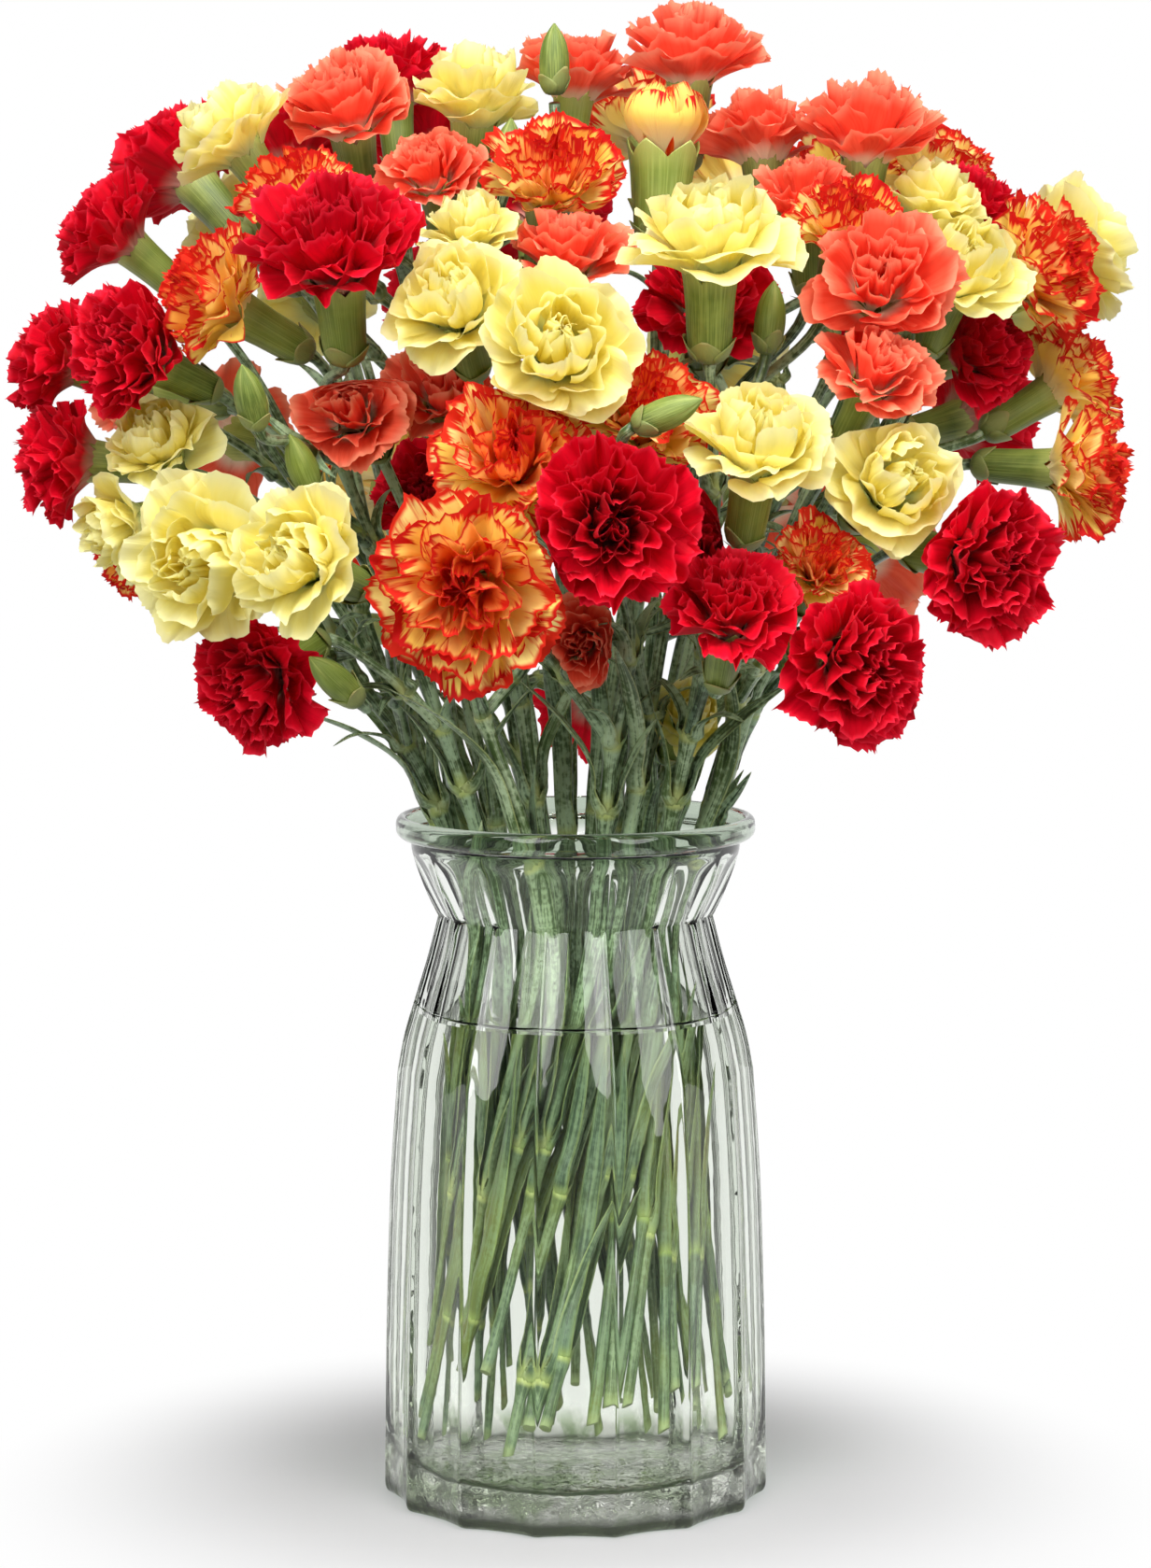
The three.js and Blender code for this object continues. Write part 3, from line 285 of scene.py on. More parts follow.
class Surface:
    """Gathers grids of points, with the values painted on them, into one piece."""

    def __init__(self, *paints):
        self.points, self.faces, self.uvs = [], [], []
        self.paints = {name: [] for name in paints}
        self.count = 0

    def add(self, grid, closed=True, caps=0, along=None, **painted):
        """A grid may close on itself sideways, and its first or both ends get a cap."""
        rows, columns = grid.shape[:2]
        across = columns if closed else columns - 1
        along = np.linspace(0, 1, rows) if along is None else np.asarray(along)
        i, j = np.meshgrid(np.arange(rows - 1), np.arange(across), indexing="ij")
        a = self.count + i * columns + j
        b = self.count + i * columns + (j + 1) % columns
        self.faces += np.stack([a, b, b + columns, a + columns], axis=-1).reshape(-1, 4).tolist()
        u = np.stack([j, j + 1, j + 1, j], axis=-1) / across
        v = along[np.stack([i, i, i + 1, i + 1], axis=-1)]
        self.uvs.append(np.stack([u, v], axis=-1).reshape(-1, 2))
        first = list(range(self.count, self.count + columns))
        last = [at + (rows - 1) * columns for at in first]
        self.faces += [first[::-1], last][:caps]
        middles = np.array([[0.5, along[0]], [0.5, along[-1]]])
        self.uvs.append(np.repeat(middles[:caps], columns, axis=0))
        self.points.append(grid.reshape(-1, 3))
        for name, values in self.paints.items():
            values.append(np.broadcast_to(painted.get(name, 0.0), (rows, columns)).ravel())
        self.count += rows * columns

    def make(self, name, finishes, node):
        mesh = bpy.data.meshes.new(name)
        mesh.from_pydata((np.vstack(self.points) * MM).tolist(), [], self.faces)
        uv_map = mesh.uv_layers.new(name="UVMap")
        uv_map.data.foreach_set("uv", np.vstack(self.uvs).astype(np.float32).ravel())
        for paint, values in self.paints.items():
            layer = mesh.attributes.new(paint, "FLOAT", "POINT")
            layer.data.foreach_set("value", np.concatenate(values).astype(np.float32))
        mesh.polygons.foreach_set("use_smooth", [True] * len(mesh.polygons))
        for finish in finishes:
            mesh.materials.append(finish.material)
        piece = put(name, mesh)
        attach(piece, "root")
        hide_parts(node)
        return mesh


class Group(Nodes):
    """A node group: given holds what it is told, and give says what it puts out."""

    def __init__(self, name, values, colours=()):
        super().__init__(bpy.data.node_groups.new(name, "ShaderNodeTree"))
        self.name_sockets("INPUT", "Float", values)
        self.name_sockets("INPUT", "Color", colours)
        self.given = self.tree.nodes.new("NodeGroupInput").outputs

    def name_sockets(self, in_out, kind, labels):
        for label in labels:
            self.tree.interface.new_socket(label, in_out=in_out, socket_type="NodeSocket" + kind)

    def give(self, colour, **values):
        self.name_sockets("OUTPUT", "Color", ["Color"])
        self.name_sockets("OUTPUT", "Float", values)
        self.fill(self.tree.nodes.new("NodeGroupOutput"), {"Color": colour, **values})
        return self.tree


def glass_tint():
    """Glass is dark at the heel, olive in patches with clear glass between in the thick foot, pale above
    and greyer at the lip; the heel, the olive patches and the lip are partly painted shade.
    """
    tint = Group("glass_tint", (), GLASS_TINTS)
    place = tint.place()
    height = tint.parts(place)["Z"]
    colour = tint.given["Foot"]
    for value, ends, other in (
        (tint.noise(place, 60.0, 3.0), (0.42, 0.52), "Clear Foot"),
        (height, (0.0075, 0.003), "Heel"),
        (height, (0.009, 0.02), "Wall"),
        (height, (0.189, 0.193), "Lip"),
    ):
        colour = tint.mix(tint.step(value, *ends), colour, tint.given[other])
    return tint.give(colour)


def glass_finish(name, index, scale, strength):
    """Clear glass or water. Light from the lamps passes straight through it, and slow
    ripples run through its surface, as pressed glass is never quite even."""
    look = {"Base Color": (0.985, 1.0, 0.988), "Roughness": 0.0, "IOR": index}
    glass = Finish(name, {**look, "Transmission Weight": 1.0})
    clear = glass.add("BsdfTransparent", {"Color": (0.9, 0.93, 0.91)})
    glass.blend(glass.rays("Is Shadow Ray"), clear)
    place = glass.place()
    above = glass.parts(place)["Z"]
    height = glass.noise(place, scale, 3.0)
    for finer, ends, share in ((3.0, FOOT_RIPPLES, 3.0), (18.0, HEEL_GRAIN, 0.5)):
        low = glass.times(glass.step(above, *ends), share)
        height = glass.times(glass.noise(place, scale * finer, 2.0), low, height)
    glass.fill(glass.shader, {"Normal": glass.bump(height, strength, 1.0)})
    return glass


def flute_hollow(share):
    """How deep a flute is across its width: a round ridge, then one even hollow curve."""
    away = np.minimum(share, 1 - share)
    past = np.maximum(away - RIDGE_SHARE, 0)
    half = 0.5 - RIDGE_SHARE
    shape = np.minimum(away, RIDGE_SHARE) ** 2 / (2 * RIDGE_SHARE) + past - past**2 / (2 * half)
    return shape / (RIDGE_SHARE / 2 + half / 2)


def make_vase():
    runs = [through(run, RUN_STEPS)[:-1] for run in VASE_OUTSIDE + VASE_INSIDE]
    rows = np.vstack(runs + [VASE_INSIDE[-1][-1]])
    share = np.tile(FLUTE_POINTS, FLUTES)
    number = np.repeat(np.arange(FLUTES), len(FLUTE_POINTS))
    angle = -math.pi / 2 + math.pi / FLUTES + 2 * math.pi * (number + share) / FLUTES
    radius = rows[:, 1:2] - rows[:, 2:3] * (FLUTE_DEPTH * flute_hollow(share))
    height = np.maximum(rows[:, :1], 0)
    walls = Surface()
    walls.add(ring_grid(radius, height, angle), caps=2)
    finishes = [
        glass_finish("pressed_glass", GLASS_INDEX, 38.0, 0.42),
        glass_finish("pressed_glass_against_water", GLASS_INDEX / WATER_INDEX, 38.0, 0.42),
    ]
    tint = glass_tint()
    for glass in finishes:
        tinted = glass.add("Group", GLASS_TINTS, node_tree=tint)
        glass.fill(glass.shader, {"Base Color": tinted.outputs["Color"]})
    mesh = walls.make("glass_vase", finishes, "vase")
    first_inside = sum(RUN_STEPS * (len(run) - 1) for run in VASE_OUTSIDE)
    inside = np.arange(len(rows) - 1) >= first_inside
    wet = np.repeat(inside & (height[:-1, 0] <= WATER_Z + 0.01), len(angle))
    mesh.polygons.foreach_set("material_index", [*wet.astype(int).tolist(), 0, 1])
    mesh.set_sharp_from_angle(angle=SHARPEST_SMOOTH)


make_vase()

# ---- water --------------------------------------------------------------------------
# Clear water stands in the vase to just under its shoulder. Its face is level and
# climbs the glass by nearly two millimetres at the edge.

WATER_CLIMB = 1.8
CLIMB_FADES_OVER = 1.3
WATER_SIDES = 90
WATER_RINGS = (0.02, 0.3, 0.6, 0.8, 0.9, 0.94, 0.97, 0.985, 0.995, 1.002)


def make_water():
    wall = 44.0 - 0.2 * FLUTE_DEPTH * 0.5
    share = np.array(WATER_RINGS)[:, None]
    climb = WATER_CLIMB * np.exp((share - 1) * wall / CLIMB_FADES_OVER)
    angle = -2 * math.pi * np.arange(WATER_SIDES) / WATER_SIDES
    face = Surface()
    face.add(ring_grid(share * wall, WATER_Z + climb, angle), caps=1)
    face.make("water_face", [glass_finish("clear_water", WATER_INDEX, 14.0, 0.05)], "water")


make_water()

# ---- how the bunch stands -----------------------------------------------------------
# Twenty-five sprays stand spiralled in the vase, close at its waist, and are eased apart
# above it until their stems run clear of each other and of the heads.

# Each row is a spray's name, its place in the rings of stems at the neck, its heads by the
# bunch of petals that they belong to, and its buds. A head is (x, y, z, facing x, y, z,
# width), and a bud is the same with no width.
SPRAYS = [
    ("bicolour_back_left", "outer", 0, -1, {
        "bicolour_back_left": [(-60, 106, 290, -0.4, 0.9, 0.05, 46), (-29, 117, 272, -0.1, 0.95, 0, 43)],
    }, [(-62, 96, 248, -0.5, 0.8, 0.2)]),
    ("red_back", "outer", 0, 1, {
        "red_top_left": [(-44, 70, 396, -0.2, 0.6, 0.8, 40), (-12, 92, 374, 0, 0.8, 0.6, 42),
            (-38, 104, 350, -0.25, 0.9, 0.35, 42)],
        "red_back_low": [(7, 92, 226, 0, 0.95, -0.1, 38)],
    }, []),
    ("coral_back_left", "outer", 1, -1, {
        "coral_back_left": [(-128, 46, 325, -0.85, 0.45, 0.25, 40), (-106, 76, 308, -0.6, 0.8, 0.1, 44)],
    }, []),
    ("yellow_back_left", "outer", 1, 1, {
        "yellow_top_left": [(-96, -25, 394, -0.55, -0.05, 0.8, 40)],
        "yellow_back_left": [(-100, 60, 370, -0.6, 0.55, 0.55, 42), (-80, 80, 352, -0.4, 0.8, 0.4, 42)],
    }, []),
    ("red_left", "outer", 3, -1, {
        "red_left": [(-145, -28, 332, -0.85, -0.1, 0.4, 36), (-120, -55, 333, -0.65, -0.65, 0.35, 40),
            (-142, -32, 304, -0.95, -0.05, 0.1, 40)],
        "red_top_left": [(-131, -5, 367, -0.75, -0.1, 0.65, 38)],
    }, []),
    ("bicolour_left", "outer", 2, 0, {
        "bicolour_left": [(-98, -60, 348, -0.75, -0.35, 0.45, 42), (-77, -42, 376, -0.2, -0.3, 0.95, 36)],
        "bicolour_low_left": [(-128, 8, 276, -0.7, 0, -0.3, 30)],
    }, []),
    ("yellow_left", "outer", 3, 1, {
        "yellow_front_left": [(-98, -88, 278, -0.45, -0.85, -0.05, 48),
            (-72, -112, 280, -0.5, -0.75, 0.3, 40)],
        "yellow_left": [(-115, -46, 309, -0.25, -0.65, 0.7, 34), (-126, -46, 286, -0.75, -0.35, -0.2, 32)],
    }, [(-64, -98, 247, -0.6, -0.4, 0.6)]),
    ("red_centre_left", "outer", 4, 0, {
        "red_upper_left": [(-64, -82, 360, -0.05, -0.5, 0.85, 50)],
        "red_low_left": [(-86, -75, 245, -0.5, -0.75, -0.3, 40)],
        "red_inner_left": [(-41, -20, 293, -0.2, -0.8, 0.4, 34)],
    }, [(-86, -98, 322, -0.15, -0.5, 0.8), (-74, -72, 303, -0.3, -0.4, 0.85)]),
    ("coral_left", "outer", 5, 0, {
        "coral_left": [(-61, -62, 318, -0.2, -0.8, 0.4, 38), (-36, -50, 322, 0, -0.7, 0.6, 36)],
        "coral_low": [(2, -62, 254, -0.1, -0.8, -0.1, 28)],
    }, []),
    ("bicolour_front", "outer", 6, -1, {
        "bicolour_front": [(-28, -126, 274, -0.05, -0.98, -0.08, 53), (-16, -102, 306, 0, -0.85, 0.45, 46),
            (18, -88, 317, 0.1, -0.7, 0.6, 40)],
    }, [(24, -118, 318, 0.85, -0.3, 0.35)]),
    ("red_centre", "outer", 6, 1, {
        "red_front": [(9, -124, 290, 0.1, -0.97, 0.15, 45), (41, -112, 266, 0.1, -0.65, 0.75, 37),
            (33, -90, 281, 0, -0.8, 0.4, 34)],
        "red_upper": [(37, -38, 348, 0, -0.75, 0.6, 42)],
    }, []),
    ("yellow_front", "outer", 7, 0, {
        "yellow_upper": [(36, -85, 363, 0, -0.35, 0.95, 50)],
        "yellow_front_right": [(48, -108, 309, 0.1, -0.55, 0.8, 44), (86, -85, 298, 0.3, -0.8, 0.3, 43)],
        "yellow_low": [(33, -25, 231, 0.2, -0.5, 0.4, 28)],
    }, [(53, -62, 343, 0.1, -0.1, 1)]),
    ("coral_right", "outer", 8, -1, {
        "coral_right": [(82, -72, 352, 0.05, -0.85, 0.5, 45), (81, -80, 328, 0.3, -0.6, 0.7, 36)],
        "bicolour_front_right": [(66, -88, 277, 0.2, -0.75, 0.5, 30)],
    }, []),
    ("red_right", "outer", 9, -1, {
        "red_front": [(73, -110, 252, 0.45, -0.85, -0.1, 43), (109, -84, 278, 0.55, -0.8, -0.05, 45)],
        "red_right": [(114, -12, 335, 0.75, -0.55, 0.35, 38)],
        "red_upper_right": [(113, 22, 371, 0.4, 0.25, 0.85, 42)],
    }, []),
    ("yellow_right", "outer", 8, 1, {
        "yellow_right": [(146, 25, 363, 0.8, 0.35, 0.35, 44), (128, 52, 350, 0.6, 0.65, 0.4, 42)],
        "yellow_top_right": [(107, -34, 356, 0.25, -0.6, 0.75, 40), (100, -22, 376, 0.4, -0.2, 0.85, 34)],
    }, []),
    ("bicolour_right", "outer", 9, 1, {
        "bicolour_right": [(142, 5, 325, 0.75, 0.15, 0.45, 38), (142, -15, 300, 0.85, -0.35, -0.05, 40),
            (131, -10, 357, 0.85, -0.5, 0.35, 45)],
    }, []),
    ("red_back_right", "outer", 10, -1, {
        "red_back_right": [(96, 84, 336, 0.5, 0.8, 0.35, 44), (120, 62, 314, 0.8, 0.55, 0.2, 42)],
    }, []),
    ("coral_back_right", "outer", 10, 1, {
        "coral_back_right": [(62, 108, 290, 0.4, 0.9, 0.05, 44), (92, 86, 272, 0.65, 0.75, -0.1, 42)],
    }, []),
    ("yellow_back", "outer", 11, 0, {
        "yellow_back": [(42, 116, 334, 0.25, 0.9, 0.3, 44), (8, 124, 314, 0, 0.98, 0.1, 46)],
    }, [(22, 108, 268, 0.2, 0.8, 0.5)]),
    ("red_top_left", "mid", 0, 0, {
        "red_top_left": [(-114, 22, 386, -0.6, 0.4, 0.65, 44), (-85, 34, 392, -0.2, 0.4, 0.9, 38),
            (-54, 38, 412, -0.1, 0.3, 0.95, 38)],
    }, []),
    ("yellow_centre", "mid", 1, 0, {
        "yellow_centre": [(-32, -90, 347, -0.15, -0.75, 0.6, 42), (-5, -104, 335, 0.1, -0.9, 0.4, 46),
            (-29, -64, 367, -0.1, -0.3, 0.95, 30)],
        "yellow_top": [(-28, -10, 405, 0.1, -0.1, 1, 44)],
    }, [(-19, -20, 389, 0.1, 0, 1)]),
    ("bicolour_top", "mid", 2, 0, {
        "bicolour_upper": [(-7, -42, 380, 0.1, -0.55, 0.8, 41)],
        "bicolour_half_open": [(25, -30, 397, 0.05, -0.05, 1, 25)],
        "bicolour_upper_right": [(74, -52, 367, 0.2, -0.5, 0.85, 36)],
    }, []),
    ("coral_top", "centre", 0, 1, {
        "coral_top": [(33, 5, 417, 0.05, -0.15, 1, 43), (53, -2, 394, -0.05, 0.1, 1, 40),
            (82, -20, 394, 0.1, -0.15, 1, 44), (64, -32, 376, -0.05, -0.3, 0.95, 36)],
    }, []),
    ("bicolour_back_right", "mid", 3, 0, {
        "bicolour_back": [(109, 45, 386, 0.5, 0.3, 0.8, 34), (22, 74, 402, 0, 0.45, 0.9, 42),
            (54, 84, 382, 0.2, 0.75, 0.6, 42), (84, 66, 384, 0.35, 0.55, 0.75, 42)],
    }, []),
    ("coral_top_left", "centre", 0, -1, {
        "coral_top_left": [(-64, -12, 402, -0.1, -0.45, 0.85, 44), (-40, -26, 384, -0.1, -0.6, 0.8, 32)],
        "coral_top": [(0, 14, 412, 0.1, 0.1, 1, 38)],
        "coral_centre": [(-2, -58, 360, 0.05, -0.35, 0.95, 36)],
    }, [(-6, -10, 416, 0, 0, 1)]),
]
WAIST_Z = 115.0
NECK_Z = 171.0
RIM_Z = 200.0
TWIST_PER_MM = 0.0153
OUTER_RING = (31.0, 12, -165.0)
MID_RING = (18.0, 4, -112.0)
PAIR_SPREAD = 2.0
STEM_R = 2.5
STEM_NODE_R = 3.4
STEM_NODE_HALF = 4.0
CUT_Z = (14.0, 48.0)
NODE_Z = (70.0, 120.0)
PEDICEL_R = 1.5
SHOOT_LEAST_LENGTH = 28.0
SHOOT_LEAST_COSINE = 0.62
STEM_STEP = 27.0
PEDICEL_STEP = 34.0
LEAF_LENGTH = (44.0, 62.0)
LEAF_HALF_WIDTH = 3.2
LEAF_TIP_HALF_WIDTH = 0.9
LEAF_PARTS = 3
CALYX_LENGTH = 24.0
BUD_LENGTH = 20.0
BUD_HALF_WIDTH = 4.2
CLUSTER_REACH = 1.3
EASING_ROUNDS = 260
LAST_ROUNDS = 60
PAIR_ROUNDS = 20
PAIR_REACH = 16.0
FIRST_STIFFNESS = 0.3
LAST_STIFFNESS = 0.04
LONGEST_PUSH = 2.5
STRAND_MARGIN = 0.9
RIM_CLEARANCE = 0.7
HEAD_CORE_RATIO = 0.55
BRIDGE_RADIUS = 22.0
# Radius of the vase's inside by height, where the stems must stay within it.
VASE_ROOM = ((10, 44), (14, 50), (22, 51.4), (56, 50.8), (126, 47.4), (147.6, 42.2),
             (171, 36.4), (180, 40.4), (190, 43.6), (200, 45.2))


def draw(seed):
    """A repeatable random draw between 0 and 1 from a whole-number seed."""
    bits = ((seed + 1) * 0x9E3779B1) & 0xFFFFFFFF
    bits = ((bits ^ (bits >> 15)) * 0x85EBCA6B) & 0xFFFFFFFF
    bits = ((bits ^ (bits >> 13)) * 0xC2B2AE35) & 0xFFFFFFFF
    return (bits ^ (bits >> 16)) / 4294967296


def between(ends, share):
    return ends[0] + (ends[1] - ends[0]) * share


def unit(vectors):
    return vectors / np.linalg.norm(vectors, axis=-1, keepdims=True)


def bezier(start, lead, tail, end, t):
    return (1 - t) ** 3 * start + 3 * (1 - t) ** 2 * t * lead + 3 * (1 - t) * t**2 * tail + t**3 * end


def cross_frame(direction):
    """Two unit vectors square to a direction, so that first x second = direction."""
    helper = np.array((0, 0, 1.0)) if abs(direction[2]) < 0.9 else np.array((1.0, 0, 0))
    first = unit(np.cross(helper, direction))
    return first, np.cross(direction, first)


class Head:
    """A flower head or a closed bud, with the calyx behind it and the foot of that calyx."""

    def __init__(self, seed, x, y, z, *facing, width=0, cluster=""):
        self.seed, self.cluster = seed, cluster
        self.bud = not cluster
        self.half_open = cluster.endswith("half_open")
        self.centre = np.array((x, y, z), float)
        self.axis = unit(np.array(facing, float))
        self.radius = width / 2
        self.depth = self.radius * 0.75 if self.half_open else width * 0.2
        self.mouth = self.radius * 0.72 if self.half_open else width * 0.145
        self.length = CALYX_LENGTH * (1 if self.half_open else min(1, 0.35 + width / 68))
        if self.bud:
            self.mouth, self.length = BUD_HALF_WIDTH, BUD_LENGTH
        back = self.depth + self.length * (0.5 if self.bud else 1)
        self.foot = self.centre - self.axis * back
        self.knots = []


class Knots:
    """Every point that stems, shoots, calyxes and leaves run through, with its radius.
    A fixed point stays where it is while the strands are eased apart."""

    def __init__(self):
        self.place, self.radius, self.fixed = [], [], []

    def add(self, place, radius, fixed=False):
        self.place.append(np.asarray(place, float))
        self.radius.append(float(radius))
        self.fixed.append(fixed)
        return len(self.place) - 1

    def tangent(self, line, i):
        before = self.place[line[max(0, i - 1)]]
        after = self.place[line[min(len(line) - 1, i + 1)]]
        return unit(after - before)


knots = Knots()


def head_knots(head):
    """The knots up a head's calyx, made when its strand first reaches for it."""
    if not head.knots:
        marks = ((0, PEDICEL_R + 0.5), (0.3, head.mouth * 0.8), (1, head.mouth))
        if head.bud:
            marks = ((0, PEDICEL_R + 0.5), (0.35, head.mouth), (0.7, head.mouth * 0.8), (1, 0.8))
        for share, radius in marks:
            place = head.foot + head.axis * head.length * share
            head.knots.append(knots.add(place, radius, True))
    return head.knots


def curve_to_head(start, tangent, head, radius_from, step, fewest=2):
    ends = head_knots(head)
    target = knots.place[ends[0]]
    span = np.linalg.norm(target - start)
    lead = start + tangent * span * 0.36
    tail = target - head.axis * span * 0.22
    pieces = max(fewest, math.floor(span / step + 0.5))
    line = []
    for t in (i / pieces for i in range(1, pieces)):
        radius = between((radius_from, PEDICEL_R), t)
        line.append(knots.add(bezier(start, lead, tail, target, t), radius))
    return line + ends


def neck_place(ring, slot, side):
    spread = side * PAIR_SPREAD
    if ring == "centre":
        return np.array((spread, 0.0))
    r, slots, first = OUTER_RING if ring == "outer" else MID_RING
    angle = math.radians(first + 360 * slot / slots)
    across, deep = math.cos(angle), math.sin(angle)
    return np.array((r * deep + spread * across, -r * across + spread * deep))


def stem_at(neck, z):
    """Where the straight stem that passes the neck at a place is at another height."""
    turn_neck = TWIST_PER_MM * (NECK_Z - WAIST_Z)
    turn = TWIST_PER_MM * (z - WAIST_Z)
    shrink = 1 + turn_neck**2
    x = (neck[0] + turn_neck * neck[1]) / shrink
    y = (neck[1] - turn_neck * neck[0]) / shrink
    return np.array((x - turn * y, y + turn * x, z))


def main_stem(neck, head, shoots, seed):
    node_z = between(NODE_Z, draw(seed + 500))
    marks = (
        (between(CUT_Z, draw(seed)), STEM_R), (node_z - STEM_NODE_HALF, STEM_R),
        (node_z, STEM_NODE_R), (node_z + STEM_NODE_HALF, STEM_R), (NECK_Z, STEM_R),
    )
    low = [knots.add(stem_at(neck, z), radius, True) for z, radius in marks]
    rim = neck * 1.25 + (head.foot[:2] - neck) * 0.12
    room = VASE_ROOM[-1][1] - STEM_R - 1.2
    rim *= min(1, room / np.linalg.norm(rim))
    low.append(knots.add((*rim, RIM_Z + 3), STEM_R, True))
    start = knots.place[low[-1]]
    tangent = unit(start - knots.place[low[-2]])
    high = curve_to_head(start, tangent, head, STEM_R, STEM_STEP, shoots + 2)
    return SimpleNamespace(kind="main", line=low + high, rim=len(low) - 1, head=head, taken=set())


def side_shoot(main, head):
    """A shoot leaves the stem at the furthest free joint that lets it run on upwards."""
    line = main.line
    base = knots.place[head_knots(head)[0]]
    joint = None
    i = main.rim + 1
    while not knots.fixed[line[i]]:
        if i not in main.taken:
            away = base - knots.place[line[i]]
            sharp = unit(away) @ knots.tangent(line, i) > SHOOT_LEAST_COSINE
            if joint is None or (sharp and np.linalg.norm(away) > SHOOT_LEAST_LENGTH):
                joint = i
        i += 1
    main.taken.add(joint)
    start = knots.place[line[joint]]
    tangent = unit(knots.tangent(line, joint) + 0.8 * unit(base - start))
    rest = curve_to_head(start, tangent, head, PEDICEL_R + 0.3, PEDICEL_STEP)
    return SimpleNamespace(kind="side", line=[line[joint]] + rest, head=head)


def leaf_line(main, seed, length):
    """The long leaf that leaves each stem at the vase's rim."""
    start = knots.place[main.line[main.rim]]
    tangent = knots.tangent(main.line, main.rim)
    side, up = cross_frame(tangent)
    angle = draw(seed) * 2 * math.pi
    out = side * math.cos(angle) + up * math.sin(angle)
    made = [main.line[main.rim]]
    for i in range(1, LEAF_PARTS + 1):
        along = length * i / LEAF_PARTS
        place = start + tangent * along * (1 - 0.05 * i) + out * along * (0.22 + 0.11 * i)
        half_width = LEAF_TIP_HALF_WIDTH if i == LEAF_PARTS else LEAF_HALF_WIDTH * (1 - 0.12 * i)
        made.append(knots.add(place, half_width))
    return SimpleNamespace(kind="leaf", line=made, out=out)


def grow_spray(index, row):
    name, ring, slot, side, clusters, buds = row
    marks = [(cluster, mark) for cluster, marks in clusters.items() for mark in marks]
    heads = [
        Head(index * 20 + i, *mark[:6], width=mark[6], cluster=cluster)
        for i, (cluster, mark) in enumerate(marks)
    ]
    buds = [Head(index * 20 + 10 + i, *bud) for i, bud in enumerate(buds)]
    neck = np.array((0, 0, NECK_Z))
    by_reach = sorted(heads, key=lambda head: -np.linalg.norm(head.foot - neck)) + buds
    main = main_stem(neck_place(ring, slot, side), by_reach[0], len(by_reach) - 1, index)
    strands = [main] + [side_shoot(main, head) for head in by_reach[1:]]
    strands.append(leaf_line(main, index * 11, between(LEAF_LENGTH, draw(index * 3))))
    group = f"{ring}{slot}"
    return SimpleNamespace(
        name=name, index=index, group=group, heads=heads, buds=buds, strands=strands
    )


def segments_of(sprays):
    """Every stretch between two knots: its ends, group, strand, and if it is near a joint."""
    rows = []
    groups = {}
    strands = 0
    for spray in sprays:
        group = groups.setdefault(spray.group, len(groups))
        for strand in spray.strands:
            for i, (a, b) in enumerate(zip(strand.line, strand.line[1:])):
                rows.append((a, b, group, strands, i < 2 and strand.kind != "main"))
            strands += 1
    return np.array(rows, int)


def nearest(place, one, two):
    """Where pairs of stretches come nearest, as shares of their lengths, and how far off."""
    a, b = place[one[:, 0]], place[two[:, 0]]
    u, v, w = place[one[:, 1]] - a, place[two[:, 1]] - b, a - b
    pairs = ((u, u), (v, v), (u, v), (u, w), (v, w))
    uu, vv, uv, uw, vw = ((x * y).sum(1) for x, y in pairs)
    flat = uu * vv - uv * uv
    s = np.where(flat > 1e-9, np.clip((uv * vw - vv * uw) / np.maximum(flat, 1e-9), 0, 1), 0)
    t = np.clip((uv * s + vw) / vv, 0, 1)[:, None]
    s = np.clip((uv * t[:, 0] - uw) / uu, 0, 1)[:, None]
    return s, t, a + u * s - (b + v * t)


def near_pairs(place, segments, thick, still):
    first, second = np.triu_indices(len(segments), 1)
    one, two = segments[first], segments[second]
    same = one[:, 2] == two[:, 2]
    kin = same & ((one[:, 3] == two[:, 3]) | (one[:, 4] > 0) | (two[:, 4] > 0))
    keep = ~(still[first] & still[second]) & ~kin
    first, second = first[keep], second[keep]
    away = nearest(place, segments[first], segments[second])[2]
    near = np.linalg.norm(away, axis=1) < thick[first] + thick[second] + PAIR_REACH
    return first[near], second[near]


def push_strands(place, push, segments, thick, first, second):
    one, two = segments[first], segments[second]
    s, t, away = nearest(place, one, two)
    distance = np.linalg.norm(away, axis=1)
    lack = thick[first] + thick[second] + STRAND_MARGIN - distance
    near = (lack > 0) & (distance >= 1e-6)
    step = away[near] * (0.5 * lack[near] / distance[near])[:, None]
    s, t = s[near], t[near]
    ends = (one[near, 0], 1 - s), (one[near, 1], s), (two[near, 0], t - 1), (two[near, 1], -t)
    for knot, share in ends:
        np.add.at(push, knot, step * share)


def push_from_balls(place, push, radius, loose, centres, sizes):
    a, b = loose[:, 0], loose[:, 1]
    span = (place[b] - place[a])[:, None, :]
    to = centres - place[a][:, None, :]
    share = np.clip((to * span).sum(2) / (span * span).sum(2), 0, 1)[:, :, None]
    away = place[a][:, None, :] + span * share - centres
    distance = np.linalg.norm(away, axis=2)
    lack = HEAD_CORE_RATIO * sizes + radius[a][:, None] - distance
    near = np.nonzero(lack > 0)
    step = away[near] * (lack[near] / distance[near])[:, None]
    np.add.at(push, a[near[0]], step * (1 - share[near]))
    np.add.at(push, b[near[0]], step * share[near])


def vase_room(place):
    heights, radii = np.array(VASE_ROOM, float).T
    return np.interp(np.minimum(place[:, 2], RIM_Z), heights, radii)


